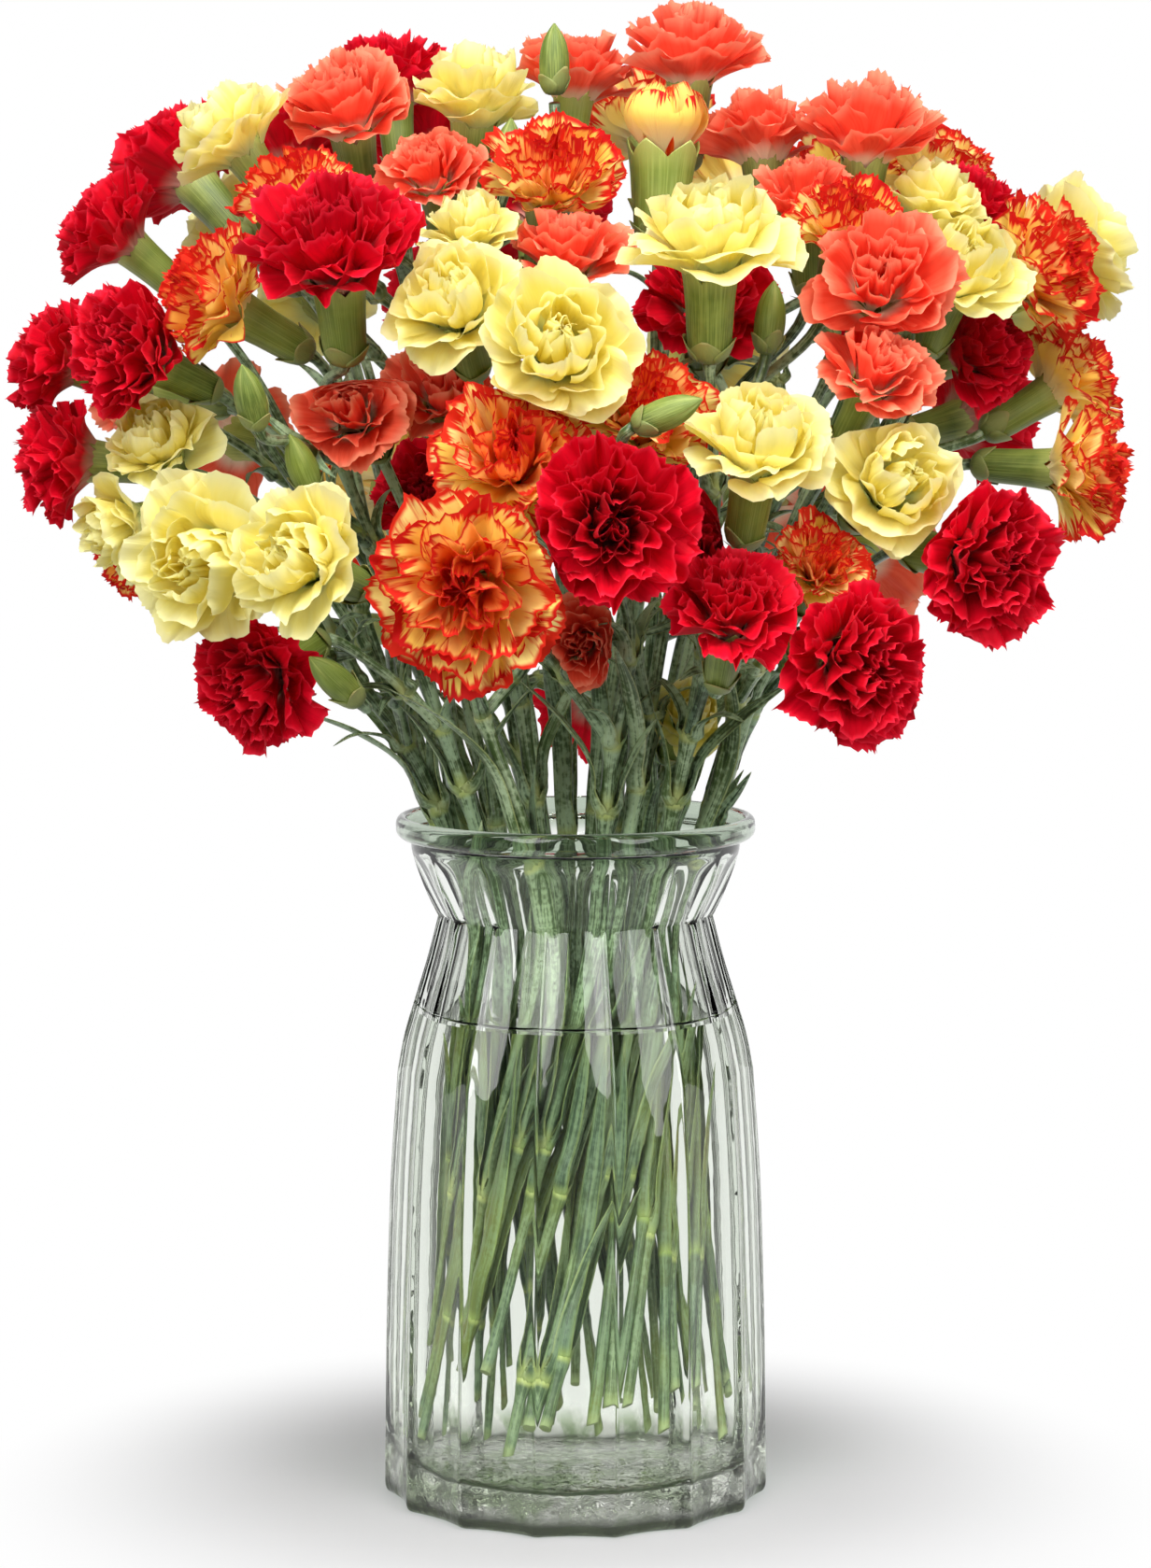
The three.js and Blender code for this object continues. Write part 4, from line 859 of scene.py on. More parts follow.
def ease_apart(sprays):
    """Strands of different bunches are pushed apart, round the heads and inside the rim,
    while each keeps the bend that it started with."""
    place, radius, fixed = np.array(knots.place), np.array(knots.radius), np.array(knots.fixed)
    segments = segments_of(sprays)
    thick = radius[segments[:, :2]].max(axis=1)
    still = fixed[segments[:, :2]].all(axis=1)
    balls = [(head.centre, head.radius) for head in all_heads]
    for head, other in permutations(all_heads, 2):
        towards = other.centre - head.centre
        distance = np.linalg.norm(towards)
        reach = head.radius + other.radius
        if other.cluster == head.cluster and distance <= CLUSTER_REACH * reach:
            bridge = head.centre + towards / distance * (distance * head.radius / reach)
            balls.append((bridge, BRIDGE_RADIUS))
    centres, sizes = (np.array(column) for column in zip(*balls))
    bends = {}
    for line in (strand.line for spray in sprays for strand in spray.strands):
        for a, b, c in zip(line, line[1:], line[2:]):
            bends.setdefault(b, (a, c))
    bent = np.array([b for b in bends if not fixed[b]], int)
    before, after = np.array([bends[b] for b in bent], int).T
    bend = place[bent] - (place[before] + place[after]) / 2
    for turn in range(EASING_ROUNDS):
        if turn % PAIR_ROUNDS == 0:
            first, second = near_pairs(place, segments, thick, still)
        push = np.zeros_like(place)
        push_strands(place, push, segments, thick, first, second)
        push_from_balls(place, push, radius, segments[~still], centres, sizes)
        last = turn >= EASING_ROUNDS - LAST_ROUNDS
        goal = (place[before] + place[after]) / 2 + bend - place[bent]
        push[bent] += goal * (LAST_STIFFNESS if last else FIRST_STIFFNESS)
        length = np.linalg.norm(push, axis=1)
        push *= np.minimum(1, LONGEST_PUSH / np.maximum(length, 1e-9))[:, None]
        place[~fixed] += push[~fixed]
        limit = vase_room(place) - radius - RIM_CLEARANCE
        flat = np.hypot(place[:, 0], place[:, 1])
        tight = ~fixed & (place[:, 2] <= RIM_Z + radius + 4) & (flat > limit)
        place[tight, :2] *= (limit[tight] / flat[tight])[:, None]
    knots.place = list(place)


sprays = [grow_spray(index, row) for index, row in enumerate(SPRAYS)]
all_heads = [head for spray in sprays for head in spray.heads]
ease_apart(sprays)
stretches = {(int(a), int(b)) for a, b in segments_of(sprays)[:, :2]}

# ---- stems --------------------------------------------------------------------------
# Carnation stems and their side shoots: round, stiff, waxy and blue-green. Each swells
# into a yellower joint where leaves and shoots leave it, and is cut off at the foot.

STEM_SIDES = 12
STEM_SPACING = 4.0
STEM_SLIM = 0.84
JOINT_SWELL = 0.4
# How far a joint's swelling, and its pale skin, reach below it and above it.
SWELLS_OVER = (4.4, 1.6)
PALE_OVER = (1.8, 7.5)
# Where the rings of points close to a joint are, along the stem from it.
RINGS_AT_JOINT = (-6, -4, -2.5, -1.2, 0, 0.7, 1.5, 2.5, 4)
LOWER_JOINT = 54.0
LEAST_FOOT = 9.0
RIM_SHIFT = (-17, 9)
INTO_CALYX = 1.5
CUT_SLANT = 0.45
CUT_BEVEL = 0.84
# The length of stem or leaf that the skin's pattern is laid out over.
SKIN_LENGTH = 60.0
# Heights in metres where a stem's wet skin turns dry.
DRY_ABOVE = (0.135, 0.15)
GREEN_PAINTS = ("joint", "cut", "chance")


class Path:
    """A smooth line through points that stand at uneven distances."""

    def __init__(self, points):
        self.points = np.asarray(points, float)
        steps = np.diff(self.points, axis=0)
        self.span = np.linalg.norm(steps, axis=1)
        self.marks = np.concatenate([[0], np.cumsum(self.span)])
        slope = steps / self.span[:, None]
        weight = (self.span[:-1] + self.span[1:])[:, None]
        middle = slope[:-1] * self.span[1:, None] + slope[1:] * self.span[:-1, None]
        self.slopes = np.vstack([slope[:1], middle / weight, slope[-1:]])

    def at(self, along):
        i = np.searchsorted(self.marks, along, side="right") - 1
        i = np.clip(i, 0, len(self.span) - 1)
        h = self.span[i][:, None]
        t = (np.asarray(along) - self.marks[i])[:, None] / h
        speeds = h * self.slopes[i], h * self.slopes[i + 1]
        return hermite(self.points[i], self.points[i + 1], *speeds, t)


def tube_grid(places, radii, count):
    """Rings round a line, turned from one to the next as little as can be."""
    tangents = unit(np.gradient(places, axis=0))
    side = cross_frame(tangents[0])[0]
    sides = []
    for tangent in tangents:
        side = unit(side - tangent * (side @ tangent))
        sides.append(side)
    ups = np.cross(tangents, sides)
    angle = 2 * math.pi * np.arange(count)[:, None] / count
    around = np.array(sides)[:, None] * np.cos(angle) + ups[:, None] * np.sin(angle)
    return places[:, None] + around * radii[:, None, None]


def near_joints(along, joints, over):
    """1 at a joint, and fading to 0 over one length below it and another above it."""
    away = along[:, None] - np.asarray(joints)
    return np.exp(-((away / np.where(away < 0, *over)) ** 2)).max(axis=1)


def find_joints(strand):
    """The way of a stem or shoot up to its calyx, and where its joints are on it."""
    strand.path = Path([knots.place[i] for i in strand.line])
    marks = strand.path.marks
    strand.joints = [marks[1] * 0.55]
    if strand.kind == "main":
        strand.joints = [marks[i] for i in sorted({2, strand.rim} | strand.taken)]
        strand.joints[1] += strand.rim_shift
        lower = marks[2] - LOWER_JOINT
        if lower > LEAST_FOOT:
            strand.joints.insert(0, lower)


def add_stem(surface, strand):
    path, joints = strand.path, strand.joints
    top = path.marks[strand.line.index(strand.head.knots[0])] + INTO_CALYX
    near = [joint + away for joint in joints for away in RINGS_AT_JOINT]
    steps = np.arange(0, top, STEM_SPACING)
    along = np.unique(np.concatenate([steps, near, [0, 0.01, top]]).round(3))
    along = along[(along >= 0) & (along <= top)]
    radius = [knots.radius[i] for i in strand.line]
    cut = np.zeros(len(along))
    if strand.kind == "main":
        radius[2] = STEM_R
        cut[:2] = (1, 0.8)
    thick = STEM_SLIM * np.interp(along, path.marks, radius)
    thick *= 1 + JOINT_SWELL * near_joints(along, joints, SWELLS_OVER)
    grid = tube_grid(path.at(along), thick, STEM_SIDES)
    if strand.kind == "main":
        way = cross_frame(np.array((0, 0, 1.0)))[draw(strand.seed) > 0.5]
        slant = (grid[0] - grid[0].mean(axis=0)) @ way
        grid[:2, :, 2] += slant * CUT_SLANT
        middle = grid[0].mean(axis=0)
        grid[0] = middle + (grid[0] - middle) * CUT_BEVEL
    surface.add(
        grid, caps=2, along=along / SKIN_LENGTH, cut=cut[:, None],
        joint=near_joints(along, joints, PALE_OVER)[:, None], chance=draw(strand.seed + 40),
    )


def add_stems(surface, spray):
    for strand in spray.strands[:-1]:
        add_stem(surface, strand)


def waxy_green():
    """Blue-green skin with a rubbed, streaky wax bloom, stained in the water, and yellower
    at a joint or cut."""
    green = Group("waxy_green", ("Across", "Along", "Joint", "Cut", "Chance"))
    chance = green.given["Chance"]
    place = green.place()
    across = green.times(green.given["Across"], 9.0)
    streaks = green.streaks(across, green.given["Along"], chance, 2.6, 3.0)
    rubbed = green.times(green.noise(place, 620.0, 3.0), 0.45, -0.225)
    rubbed = green.times(green.noise(place, 75.0, 3.0), 0.5, rubbed)
    wax = green.step(green.times(streaks, 0.5, rubbed), 0.4, 0.6)
    skin = green.mix(chance, (0.012, 0.03, 0.012), (0.06, 0.11, 0.03))
    waxed = green.mix(chance, (0.28, 0.43, 0.27), (0.54, 0.7, 0.43))
    dry = green.step(green.parts(place)["Z"], *DRY_ABOVE)
    stains = green.noise(place, 24.0, 2.0)
    wet_skin = green.mix(green.step(stains, 0.4, 0.6), (0.045, 0.08, 0.045), (0.17, 0.21, 0.04))
    browned = green.times(green.step(stains, 0.6, 0.7), 0.6)
    wet_skin = green.mix(browned, wet_skin, (0.24, 0.15, 0.05))
    skin = green.mix(green.times(dry, -0.75, 0.75), skin, wet_skin)
    colour = green.mix(green.times(wax, green.times(dry, 0.5, 0.3)), skin, waxed)
    lines = green.times(green.step(streaks, 0.35, 0.7), 0.4)
    colour = green.mix(lines, colour, (0.24, 0.33, 0.13))
    pale = green.mix(chance, (0.28, 0.38, 0.1), (0.45, 0.5, 0.18))
    colour = green.mix(green.step(green.given["Joint"], 0.3, 1.05), colour, pale)
    colour = green.mix(green.given["Cut"], colour, (0.45, 0.54, 0.26))
    roughness = green.add("MapRange", {0: wax, 3: 0.28, 4: 0.5}).outputs[0]
    return green.give(colour, Roughness=roughness, Height=streaks)


def skin_finish(name, group, paints, bump, look, colours=None):
    """A skin whose group is told the place across and along it and its painted values."""
    skin = Finish(name, look)
    place = skin.parts(skin.add("UVMap").outputs[0])
    told = {"Across": place["X"], "Along": place["Y"], **(colours or {})}
    for paint in paints:
        told[paint.title()] = skin.add("Attribute", attribute_name=paint).outputs["Fac"]
    made = skin.add("Group", told, node_tree=group).outputs
    skin.colour, skin.relief = made["Color"], skin.bump(made["Height"], *bump)
    skin.fill(skin.shader, {"Base Color": skin.colour, "Normal": skin.relief})
    if "Roughness" in made:
        skin.fill(skin.shader, {"Roughness": made["Roughness"]})
    return skin


green_groups = {}
for spray in sprays:
    green_groups.setdefault(spray.group, []).append(spray)
    for number, strand in enumerate(spray.strands):
        strand.seed = spray.index * 31 + number
        strand.rim_shift = between(RIM_SHIFT, draw(strand.seed + 11))
        if strand.kind != "leaf":
            find_joints(strand)


def make_greens(label, finish, paints, add_spray):
    """One kind of green piece for each node of stems, such as its leaves."""
    for members in green_groups.values():
        names = "_and_".join(spray.name for spray in members)
        surface = Surface(*paints)
        for spray in members:
            add_spray(surface, spray)
        surface.make(f"{label}_{names}", [finish], "stems_" + names)


green_skin = waxy_green()
green_look = {"Specular IOR Level": 0.5}
stem_finish = skin_finish("stem_skin", green_skin, GREEN_PAINTS, (0.5, 0.3), green_look)
make_greens("stalks", stem_finish, GREEN_PAINTS, add_stems)

# ---- leaves -------------------------------------------------------------------------
# Narrow, stiff, channelled straps. They leave each joint in pairs, and their feet wrap
# the stem. Long ones stand among the stems in the vase, and short bracts sit above.

LEAF_COLUMNS = 7
LEAF_THICK = 0.4
LEAF_SHEATH = 5.0
LEAF_WRAP = 1.75
BLADE_CURL = 0.75
GLASS_GAP = 1.6
# Leaves at the joints in the vase: the ends of their length, half width and lean.
LONG_LEAF = ((56, 90), (3.0, 4.6), (0.015, 0.05))
# Bracts on the stem above the vase, on a shoot, and facing the long leaf at the rim:
# radius at the joint, length, half width, and lean at the foot and for each step outward.
UPPER_BRACT = (2.1, 21.0, 2.4, (0.05, 0.2))
SHOOT_BRACT = (1.8, 14.0, 1.8, (0.08, 0.2))
RIM_BRACT = (STEM_R, 30.0, 2.6, (0.1, 0.05))
# No leaves leave a stem from this far below the rim to this far above it.
BARE_AT_RIM = (30, 12)


def keep_in_vase(place):
    """A leaf in the vase lies against the glass and doesn't go through it."""
    limit = vase_room(place) - GLASS_GAP
    flat = np.hypot(place[:, 0], place[:, 1])
    squeeze = np.where(place[:, 2] < RIM_Z + 3, np.minimum(1, limit / flat), 1)
    place = place.copy()
    place[:, :2] *= squeeze[:, None]
    return place


def add_leaf(surface, places, out, stem_radius, half_width, seed):
    """places run from the joint's middle to the tip; out points away from the stem."""
    start = places[0]
    tangent = unit(places[1] - start)
    out = unit(out - tangent * (out @ tangent))
    foot = stem_radius + 0.35
    low = [start + out * foot, start + tangent * LEAF_SHEATH * 0.8 + out * (foot + 0.2)]
    path = Path(low + list(places[1:]))
    length = path.marks[-1]
    sheath = np.linspace(0, LEAF_SHEATH, 5)
    blade = np.linspace(0, 1, 15)[1:] ** 0.9
    along = np.concatenate([sheath, LEAF_SHEATH + blade * (length - LEAF_SHEATH)])
    middle = keep_in_vase(path.at(along))
    tangents = unit(np.gradient(middle, axis=0))
    across = unit(np.cross(tangents, out))
    face = np.cross(across, tangents)
    s = along / length
    t = np.clip((along - LEAF_SHEATH * 0.5) / (LEAF_SHEATH * 1.6), 0, 1)
    t = t * t * (3 - 2 * t)
    twist = ((draw(seed + 3) - 0.5) * 1.5 * s**1.5)[:, None]
    turned = across * np.cos(twist) + face * np.sin(twist)
    face = face * np.cos(twist) - across * np.sin(twist)
    blade_width = half_width * (0.74 + 0.26 * np.sin(np.pi * np.minimum(1, s * 1.15)))
    blade_width *= (1 - s**4) ** 0.75
    width = (1 - t) * LEAF_WRAP * foot + t * np.maximum(blade_width, 0.12)
    curl = (1 - t) * LEAF_WRAP + t * BLADE_CURL
    bend = (width / curl)[:, None]
    j = np.linspace(-1, 1, LEAF_COLUMNS)
    angle = j * curl[:, None]
    side_way = (bend * np.sin(angle))[..., None] * turned[:, None]
    in_way = (bend * (1 - np.cos(angle)))[..., None] * face[:, None]
    outer = middle[:, None] + side_way - in_way
    thin = LEAF_THICK * (1 - 0.75 * j**4) * np.minimum(1, width / 1.2)[:, None]
    inner = outer - face[:, None] * thin[..., None]
    sheath_glow = np.exp(-((along / (LEAF_SHEATH * 0.9)) ** 2)) * 0.8
    margin = 0.75 * np.concatenate([j, j[::-1]]) ** 8
    surface.add(
        np.concatenate([outer, inner[:, ::-1]], axis=1), caps=2, along=along / SKIN_LENGTH,
        joint=np.maximum(sheath_glow[:, None], margin), cut=(0.45 * (s > 0.985))[:, None],
        chance=draw(seed + 7),
    )


def leaf_places(start, tangent, out, length, spread, rise):
    """A leaf stands up along the stem and leans away from it more and more."""
    rows = [start]
    for k in range(1, 5):
        along = length * k / 4
        lean = spread + rise * k
        rows.append(start + tangent * along * (1 - 0.5 * lean * lean) + out * (3.0 + along * lean))
    return keep_in_vase(np.array(rows))


def add_leaf_pair(surface, strand, joint, stem_radius, length, half_width, lean, seed):
    place, ahead = strand.path.at([joint, joint + 1.0])
    tangent = unit(ahead - place)
    side, up = cross_frame(tangent)
    turn = draw(seed) * 2 * math.pi
    out = side * math.cos(turn) + up * math.sin(turn)
    for way in (1, -1):
        long = length * (0.8 + 0.4 * draw(seed + way * 5 + 9))
        places = leaf_places(place, tangent, way * out, long, *lean)
        add_leaf(surface, places, way * out, stem_radius, half_width, seed + way)


def add_leaves(surface, spray):
    main, *shoots, leaf = spray.strands
    rim = main.path.marks[main.rim]
    places = np.array([knots.place[i] for i in leaf.line])
    places[0] = main.path.at([rim + main.rim_shift])[0]
    add_leaf(surface, places, leaf.out, STEM_R, LEAF_HALF_WIDTH, leaf.seed)
    away = unit(-leaf.out)
    stem_radius, length, half_width, lean = RIM_BRACT
    other = leaf_places(places[0], main.path.slopes[main.rim], away, length, *lean)
    add_leaf(surface, other, away, stem_radius, half_width, leaf.seed + 1)
    for number, joint in enumerate(main.joints):
        seed = spray.index * 53 + number * 7
        if joint < rim - BARE_AT_RIM[0]:
            draws = (draw(seed + i) for i in (1, 2, 3))
            long, wide, rise = map(between, LONG_LEAF, draws)
            add_leaf_pair(surface, main, joint, STEM_R, long, wide, (0.0, rise), seed)
        elif joint > rim + BARE_AT_RIM[1]:
            add_leaf_pair(surface, main, joint, *UPPER_BRACT, seed)
    for shoot in shoots:
        seed = spray.index * 67 + shoot.seed
        add_leaf_pair(surface, shoot, shoot.joints[0], *SHOOT_BRACT, seed)


leaf_finish = skin_finish("leaf_skin", green_skin, GREEN_PAINTS, (0.7, 0.3), green_look)
make_greens("leaves", leaf_finish, GREEN_PAINTS, add_leaves)

# ---- calyxes and buds ---------------------------------------------------------------
# A bloom's petals stand in a smooth green tube, finely lined, with five teeth round its
# mouth and four pointed scales round its foot. An unopened bud is such a tube, closed.

CALYX_TEETH = 5
CALYX_COLUMNS = 50
CALYX_WALL = 0.45
CALYX_PAINTS = ("rim", "scale", "chance")
TOOTH = 5.2
# Up the outside of a tooth and down its inside: share of its height, and of the wall.
TOOTH_ROWS = ((0.3, 0), (0.6, 0), (0.85, 0), (1, 0), (0.9, 1), (0.4, 1), (0, 1))
# Further down the inside: shares of the calyx's length and of its mouth.
INSIDE_ROWS = ((0.75, 0.9), (0.5, 0.84))
SCALE_COLUMNS = 9
# A scale's height as a share of the calyx, how far it stands off, its half width as an
# angle, and its turn in half circles.
OUTER_SCALE = (0.27, 0.48, 1.15, 0)
INNER_SCALE = (0.35, 0.2, 1, 0.5)
# Along and width of a calyx or bud, as shares of its length and of its mouth's radius.
OPEN_CALYX = ((0, 0.34), (0.03, 0.52), (0.09, 0.7), (0.2, 0.82), (0.4, 0.87), (0.65, 0.91),
              (0.85, 0.97), (1, 1.03))
CLOSED_BUD = ((0, 0.42), (0.04, 0.62), (0.12, 0.84), (0.28, 0.98), (0.45, 1.02), (0.62, 0.94),
              (0.76, 0.76), (0.87, 0.5), (0.95, 0.24), (1.0, 0.07))


def around_axis(head, along, radius, angle):
    """Points round the line from a calyx's foot the way its head faces."""
    side, up = cross_frame(head.axis)
    along, radius, angle = (x[..., None] for x in np.broadcast_arrays(along, radius, angle))
    return head.foot + head.axis * along + (side * np.cos(angle) + up * np.sin(angle)) * radius


def calyx_angles(head):
    """Where a calyx's columns stand round it, and how far each is between two teeth."""
    turn = np.arange(CALYX_COLUMNS) / CALYX_COLUMNS
    return 2 * math.pi * (turn + draw(head.seed)), turn * CALYX_TEETH % 1


def add_calyx(surface, head):
    length, mouth = head.length, head.mouth
    angle, share = calyx_angles(head)
    tooth = TOOTH * (0.05 + 0.95 * (1 - np.abs(2 * share - 1)) ** 0.85) * min(1, length / 20)
    level = 0 * angle
    rows = [(along * length + level, wide * mouth + level, 0) for along, wide in OPEN_CALYX]
    for t, wall in TOOTH_ROWS:
        rows.append((length + tooth * t, mouth * (1.03 + 0.028 * tooth * t), wall))
    for along, wide in INSIDE_ROWS:
        rows.append((along * length + level, wide * mouth + level, 1))
    along, radius, wall = (np.array(column) for column in zip(*rows))
    radius -= CALYX_WALL * wall[:, None]
    inside = sum(wall)
    v = np.concatenate([np.linspace(0, 1, len(rows) - inside), np.linspace(0.98, 0.6, inside)])
    surface.add(
        around_axis(head, along, radius, angle), caps=2, along=v,
        rim=np.clip(along / length - 0.86, 0, 1) * 2.4, chance=draw(head.seed + 3),
    )


def add_bud(surface, head):
    angle, share = calyx_angles(head)
    marks, widths = through(CLOSED_BUD, 2).T[:, :, None]
    seam = 0.13 * np.abs(2 * share - 1) ** 5 * np.clip((marks - 0.55) * 3, 0, 1)
    surface.add(
        around_axis(head, marks * head.length, widths * head.mouth * (1 - seam), angle), caps=2,
        along=marks[:, 0], rim=seam * 5, chance=draw(head.seed + 3),
    )


def add_scales(surface, head):
    """Two pairs of pointed scales clasp the foot, the outer pair a little shorter."""
    marks, widths = np.array(CLOSED_BUD if head.bud else OPEN_CALYX).T
    t = np.linspace(0, 1, SCALE_COLUMNS)
    j = np.linspace(-1, 1, SCALE_COLUMNS)
    first_turn = 2 * math.pi * draw(head.seed + 5)
    for number in range(4):
        share, stand, broad, turn = OUTER_SCALE if number < 2 else INNER_SCALE
        tall = head.length * share * (0.9 + 0.2 * draw(head.seed * 5 + number))
        turn = first_turn + math.pi * (number % 2 + turn)
        along = 0.2 + t * tall
        radius = np.interp(along / head.length, marks, widths) * head.mouth + stand + 0.8 * t**4
        half = broad * np.clip(1 - t, 0.02, 1) ** 0.55 * (0.85 + 0.45 * np.sin(np.pi * t))
        angle = turn + half[:, None] * j
        outer = around_axis(head, along[:, None], radius[:, None] - 0.1 * j**2, angle)
        inner = around_axis(head, along[:, None], radius[:, None] - 0.28, angle)
        surface.add(
            np.concatenate([outer, inner[:, ::-1]], axis=1), caps=2, along=t, scale=1.0,
            rim=t[:, None], chance=draw(head.seed + number),
        )


def add_calyxes(surface, spray):
    for head in spray.heads + spray.buds:
        (add_bud if head.bud else add_calyx)(surface, head)
        add_scales(surface, head)


def calyx_green():
    """Fresh green with fine lines lengthwise, paler at the mouth, tanned on the scales."""
    green = Group("calyx_green", ("Across", "Along", "Rim", "Scale", "Chance"))
    given = green.given
    across, along = green.times(given["Across"], 60.0), green.times(given["Along"], 1.1)
    lines = green.streaks(across, along, given["Chance"], 2.2, 2.0)
    patches = green.noise(green.place(), 110.0, 3.0)
    body = green.mix(given["Chance"], (0.08, 0.125, 0.016), (0.22, 0.3, 0.035))
    dull = green.mix(0.5, body, (0.03, 0.05, 0.012))
    body = green.mix(green.step(given["Along"], 0.1, 0.8), dull, body)
    shade = green.times(green.step(patches, 0.35, 0.7), 0.45)
    body = green.mix(shade, body, (0.26, 0.32, 0.06))
    fine = green.times(green.step(lines, 0.42, 0.66), 0.42)
    colour = green.mix(fine, body, (0.34, 0.42, 0.1))
    colour = green.mix(green.times(given["Rim"], 0.7), colour, (0.55, 0.58, 0.18))
    tan = green.mix(patches, (0.07, 0.12, 0.035), (0.24, 0.27, 0.09))
    tan = green.mix(green.step(given["Rim"], 0.7, 1.15), tan, (0.3, 0.17, 0.08))
    return green.give(green.mix(green.times(given["Scale"], 0.6), colour, tan), Height=lines)


calyx_finish = skin_finish(
    "calyx_skin", calyx_green(), CALYX_PAINTS, (0.45, 0.3),
    {"Roughness": 0.48, "Specular IOR Level": 0.4},
)
make_greens("calyxes", calyx_finish, CALYX_PAINTS, add_calyxes)

# ---- blooms -------------------------------------------------------------------------
# Carnation heads: thin, dry-soft petals in whorls, each on a narrow claw in the calyx and
# spread into a fan whose edge is toothed and waved. Neighbouring heads press on each other.

PRESS_FREE = 0.84
LEAST_ROOM = 3.0
CELL_REACH = 1.3
TOUCH_GAP = 0.3
CLUSTER_LAP = 0.8
CLAW_IN_CALYX = 4.0
PETAL_ROWS = 11
# A half-open bloom's petals don't show the paler colour of the very edge.
HALF_OPEN_ALONG = 0.93
PETAL_PAINTS = ("chance", "depth")
# A whorl is (petals, tip out, tip up, lean at the tip in degrees, bulge, half width). Out,
# up and width are shares of the head's radius; lean is 0 along its axis, 90 level.
WHORLS = {
    "full": [
        (6, 1.02, -0.06, 94, 0.0, 0.68), (6, 0.97, 0.16, 76, 0.0, 0.66), (5, 0.82, 0.38, 56, 0.0, 0.62),
        (5, 0.6, 0.52, 38, 0.04, 0.56), (4, 0.38, 0.6, 22, 0.06, 0.48), (4, 0.16, 0.6, 0, 0.05, 0.4),
        (3, 0.02, 0.46, -14, 0.04, 0.3),
    ],
    "loose": [
        (5, 1.04, -0.04, 94, 0.0, 0.66), (5, 0.95, 0.18, 74, 0.0, 0.6), (4, 0.74, 0.42, 50, 0.02, 0.56),
        (4, 0.48, 0.56, 28, 0.06, 0.5), (3, 0.28, 0.6, 10, 0.06, 0.42), (3, 0.1, 0.58, -6, 0.05, 0.36),
        (2, 0.0, 0.44, -14, 0.03, 0.28),
    ],
    "cupped": [
        (5, 1.04, -0.12, 100, 0.0, 0.66), (5, 0.96, 0.1, 82, 0.0, 0.6), (4, 0.68, 0.38, 38, 0.1, 0.56),
        (4, 0.44, 0.54, 4, 0.18, 0.5), (3, 0.28, 0.6, -14, 0.14, 0.44), (3, 0.1, 0.6, -14, 0.1, 0.34),
        (4, 0.08, 0.5, -8, 0.08, 0.3),
    ],
    "half": [
        (6, 0.72, 0.66, -22, 0.34, 0.66), (5, 0.6, 0.8, -20, 0.26, 0.6), (4, 0.36, 0.82, -16, 0.16, 0.46),
        (3, 0.12, 0.8, -8, 0.06, 0.32),
    ],
}
FORMS = {"red": "full", "bicolour": "full", "coral": "loose", "yellow": "cupped"}
# Wave height, waves across a petal, tooth depth, rounding of the edge, fold and teeth.
PETAL_EDGES = {
    "red": (0.085, 2.3, 0.05, 0.11, 0.24, 16),
    "bicolour": (0.078, 2.2, 0.045, 0.11, 0.2, 16),
    "coral": (0.066, 1.9, 0.036, 0.12, 0.18, 14),
    "yellow": (0.06, 1.7, 0.022, 0.13, 0.12, 12),
    "half": (0.02, 1.2, 0.02, 0.1, 0.08, 14),
}


def cell_of(head):
    """The walls that a head's petals stay within, from its neighbours and from stems."""
    walls = []
    for other in all_heads:
        if other is not head:
            towards = other.centre - head.centre
            distance = np.linalg.norm(towards)
            share = distance * head.radius / (head.radius + other.radius)
            lap = CLUSTER_LAP if other.cluster == head.cluster else -TOUCH_GAP / 2
            walls.append((towards / distance, share + lap))
    for a, b in stretches:
        if {a, b} <= set(head.knots):
            continue
        start, span = knots.place[a], knots.place[b] - knots.place[a]
        share = np.clip((head.centre - start) @ span / (span @ span), 0, 1)
        towards = start + span * share - head.centre
        distance = np.linalg.norm(towards)
        thick = max(knots.radius[a], knots.radius[b])
        if distance < CELL_REACH * head.radius + thick:
            walls.append((towards / distance, distance - thick - TOUCH_GAP))
    return [np.array(column) for column in zip(*walls)]


def pressed(points, head, cell, weight):
    """Petals that come near a wall are pressed back from it, more the further they go."""
    normals, offsets = cell
    away = points - head.centre
    length = np.linalg.norm(away, axis=-1)
    way = away / length[..., None]
    along = way @ normals.T
    limit = np.where(along > 1e-6, offsets / np.maximum(along, 1e-6), np.inf).min(axis=-1)
    limit = np.maximum(limit, LEAST_ROOM)
    free = PRESS_FREE * limit
    room = limit - free
    over = np.maximum(length - free, 0)
    kept = np.where(length > free, free + room * (1 - np.exp(-over / room)), length)
    kept = length + (kept - length) * weight
    return head.centre + way * kept[..., None]


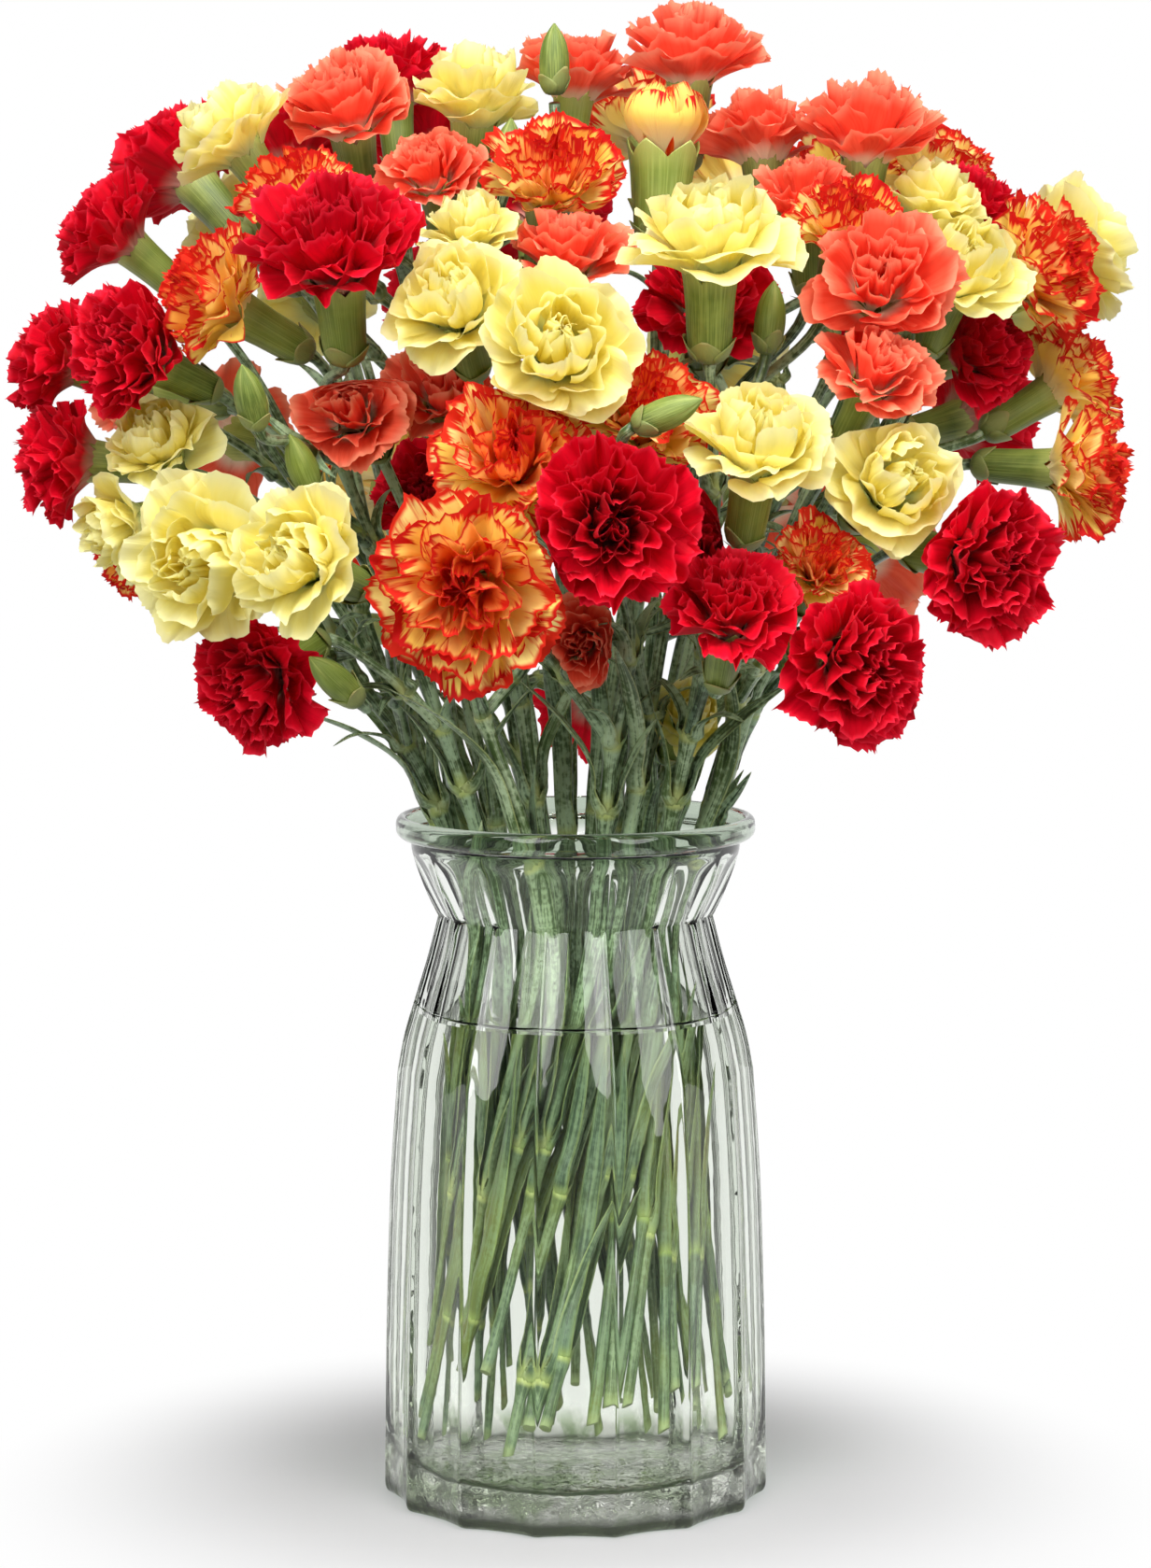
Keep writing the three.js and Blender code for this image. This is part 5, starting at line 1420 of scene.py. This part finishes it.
def petal_grid(head, cell, whorl, azimuth, edges, rng):
    """One petal: a claw from the calyx that spreads into a waved and toothed fan."""
    _, tip_out, tip_up, lean, bulge, width = whorl
    wave, waves, tooth, rounding, fold, teeth = edges
    radius = head.radius
    rows, columns = PETAL_ROWS, 2 * teeth + 1
    u = np.linspace(-1, 1, columns)
    lobes = 0.035 * np.sin(u * rng.uniform(2, 4) + rng.uniform(0, 6))
    ragged = tooth * ((np.arange(columns) % 2) * rng.uniform(0, 1, columns) ** 1.4 - 0.2)
    edge = 1 - rounding * np.abs(u) ** 2.6 + lobes + ragged
    v = (1 - (1 - np.linspace(0, 1, rows)) ** 1.25)[:, None] * np.ones(columns)
    reach = v * (1 + (edge[None, :] - 1) * v**2)
    tip_out = tip_out * rng.uniform(0.88, 1.07)
    tip_up = tip_up + rng.uniform(-0.09, 0.09)
    tip_up += 0.2 * head.shut * tip_out
    lean = math.radians(lean + rng.uniform(-16, 14) - 26 * head.shut * tip_out)
    start = np.array((0.3 * head.mouth, -head.depth - CLAW_IN_CALYX))
    end = np.array((tip_out, tip_up)) * radius
    rise = math.radians(8 + 0.35 * math.degrees(max(lean, 0)))
    span = np.linalg.norm(end - start)
    first = start + np.array((math.sin(rise), math.cos(rise))) * span * 0.42
    second = end - np.array((math.sin(lean), math.cos(lean))) * span * 0.42
    second[0] += bulge * radius
    first[0] += bulge * radius * 0.4
    t = reach[..., None]
    line = bezier(start, first, second, end, t)
    slope = 3 * (1 - t) ** 2 * (first - start) + 6 * (1 - t) * t * (second - first)
    slope += 3 * t**2 * (end - second)
    slope /= np.linalg.norm(slope, axis=-1)[..., None]
    spread = np.clip((reach - 0.1) / 0.68, 0, 1)
    spread = 0.1 + 0.9 * spread * spread * (3 - 2 * spread)
    half = width * radius * rng.uniform(0.82, 1.14) * spread
    turn = np.minimum(half / (np.maximum(line[..., 0], 0) + 0.1 * radius), 1.4) * u
    wander = rng.uniform(0, 2 * math.pi, 4)
    rising = reach**2.2
    ripple = np.sin(math.pi * waves * u + wander[0] + 1.6 * reach)
    ripple += 0.55 * np.sin(math.pi * waves * 1.9 * u + wander[1] - 2.0 * reach)
    ripple += 0.5 * np.sin(math.pi * 0.8 * u + wander[2])
    lift = wave * radius * ripple * rising
    lift = lift + fold * half * (np.abs(u) - 0.4) * reach * rng.uniform(0.2, 1.3)
    lift = lift + rng.uniform(0.1, 0.26) * half * u * reach
    out = line[..., 0] - slope[..., 1] * lift
    up = line[..., 1] + slope[..., 0] * lift
    side_way = 0.06 * radius * np.sin(math.pi * waves * u + wander[3]) * rising
    angle = azimuth + turn + side_way / (np.maximum(out, 0) + 0.3 * radius)
    first_side, second_side = cross_frame(head.axis)
    grid = head.centre + head.axis * up[..., None]
    grid = grid + first_side * (out * np.cos(angle))[..., None]
    grid = grid + second_side * (out * np.sin(angle))[..., None]
    weight = np.clip((reach - 0.12) / 0.2, 0, 1)
    return pressed(grid, head, cell, weight)


def add_bloom(surface, head, colour):
    rng = np.random.default_rng(7000 + head.seed)
    head.shut = 0 if head.half_open else rng.uniform(0, 1)
    cell = cell_of(head)
    edges = PETAL_EDGES["half" if head.half_open else colour]
    whorls = WHORLS["half" if head.half_open else FORMS[colour]]
    along = np.linspace(0, HALF_OPEN_ALONG if head.half_open else 1, PETAL_ROWS)
    for layer, whorl in enumerate(whorls):
        first = rng.uniform(0, 2 * math.pi)
        for number in range(whorl[0]):
            azimuth = first + 2 * math.pi * (number + rng.uniform(-0.2, 0.2)) / whorl[0]
            grid = petal_grid(head, cell, whorl, azimuth, edges, rng)
            chance, depth = rng.uniform(0, 1), layer / (len(whorls) - 1)
            surface.add(grid, closed=False, along=along, chance=chance, depth=depth)


def petal_paint():
    """Colour from claw to edge with fine veins lengthwise; painted shade deepens it towards a bloom's
    heart, and a painted highlight lightens the edge.
    """
    values = ("Across", "Along", "Chance", "Depth", "Edge From", "Vein Share")
    paint = Group("petal_paint", values, ("Claw", "Deep", "Body", "Edge"))
    given = paint.given
    across, along = given["Across"], given["Along"]
    third = paint.times(given["Chance"], 31.0)
    veins = paint.streaks(paint.times(across, 15.0), along, third, 1.7, 2.0)
    soft = paint.streaks(paint.times(across, 2.5), along, third, 1.5, 2.0)
    colour = given["Body"]
    for share, other in (
        # painted shade: the inner whorls take the deep colour
        (paint.times(given["Depth"], 0.75), "Deep"),
        (paint.times(paint.step(soft, 0.35, 0.75), 0.35), "Deep"),
        (paint.times(paint.step(veins, 0.45, 0.62), given["Vein Share"]), "Deep"),
        # painted highlight along the petal's edge
        (paint.step(along, given["Edge From"], 1.02), "Edge"),
        (paint.step(along, 0.5, 0.24), "Claw"),
    ):
        colour = paint.mix(share, colour, given[other])
    return paint.give(colour, Height=paint.math("ADD", veins, soft))


def flame_paint():
    """Yellow ground with feathered red margins, red flecks and an orange heart; the orange low on the
    petals and the redder heart are partly painted warm shade.
    """
    paint = Group("flame_paint", ("Across", "Along", "Chance", "Depth"))
    given = paint.given
    across, along = given["Across"], given["Along"]
    chance, depth = given["Chance"], given["Depth"]
    third = paint.times(chance, 31.0)
    fine = paint.streaks(paint.times(across, 16.0), along, third, 1.9, 2.5)
    broad = paint.streaks(paint.times(across, 3.2), along, third, 1.6, 2.0)
    # The orange low on the petals and its redder heart are partly the petals' own colour and partly
    # painted warm shade deep in the bloom.
    heart = paint.step(depth, 0.1, 0.9)
    cream = paint.mix(chance, (1.0, 0.76, 0.14), (1.0, 0.9, 0.36))
    orange = paint.mix(heart, (1.0, 0.47, 0.035), (0.97, 0.16, 0.025))
    outer = paint.times(paint.step(depth, 0.35, 0.05), 0.4, broad)
    outward = paint.step(paint.math("ADD", along, outer), 0.86, 1.16)
    outward = paint.times(outward, paint.math("SUBTRACT", 1.0, heart))
    ground = paint.mix(outward, orange, cream)
    reach = paint.times(broad, 0.9, paint.math("ADD", along, fine))
    flame = paint.step(reach, 1.73, 1.92)
    flecks = paint.times(paint.step(fine, 0.68, 0.74), 0.6)
    flame = paint.math("MAXIMUM", flame, flecks)
    flame = paint.math("MAXIMUM", flame, paint.step(along, 0.88, 0.96))
    red = paint.mix(chance, (0.62, 0.01, 0.012), (0.8, 0.035, 0.014))
    colour = paint.mix(flame, ground, red)
    claw = paint.times(paint.step(along, 0.6, 0.25), paint.step(depth, 0.25, 0.05))
    colour = paint.mix(claw, colour, (0.93, 0.84, 0.45))
    return paint.give(colour, Height=paint.math("ADD", fine, broad))


def petal_finish(name, group, roughness, glow, colours):
    """Thin petal skin: light comes softly through it and grazes its fine down."""
    look = {"Roughness": roughness, "Specular IOR Level": 0.12}
    look.update({"Sheen Weight": 0.03, "Sheen Roughness": 0.4})
    petal = skin_finish(name, group, PETAL_PAINTS, (0.5, 0.35), look, colours)
    through_light = {"Color": petal.colour, "Normal": petal.relief}
    petal.blend(glow, petal.add("BsdfTranslucent", through_light))
    return petal


plain_paint = petal_paint()
petal_finishes = {
    "red": petal_finish("red_petals", plain_paint, 0.62, 0.26, {
        "Claw": (0.62, 0.3, 0.24), "Deep": (0.46, 0.0003, 0.007), "Body": (0.8, 0.0005, 0.02),
        "Edge": (0.84, 0.02, 0.05), "Edge From": 0.9, "Vein Share": 0.35,
    }),
    "yellow": petal_finish("yellow_petals", plain_paint, 0.55, 0.46, {
        "Claw": (0.7, 0.76, 0.34), "Deep": (0.89, 0.75, 0.11), "Body": (0.93, 0.87, 0.32),
        "Edge": (0.95, 0.92, 0.5), "Edge From": 0.7, "Vein Share": 0.16,
    }),
    "coral": petal_finish("coral_petals", plain_paint, 0.56, 0.3, {
        "Claw": (0.92, 0.7, 0.5), "Deep": (0.84, 0.075, 0.035), "Body": (0.95, 0.15, 0.075),
        "Edge": (0.98, 0.32, 0.19), "Edge From": 0.76, "Vein Share": 0.4,
    }),
    "bicolour": petal_finish("flamed_petals", flame_paint(), 0.56, 0.4, {}),
}
bunches = {}
for head in all_heads:
    bunches.setdefault(head.cluster, []).append(head)
for cluster, heads in bunches.items():
    colour = cluster.split("_")[0]
    petals = Surface(*PETAL_PAINTS)
    for head in heads:
        add_bloom(petals, head, colour)
    petals.make("petals_" + cluster, [petal_finishes[colour]], "blooms_" + cluster)
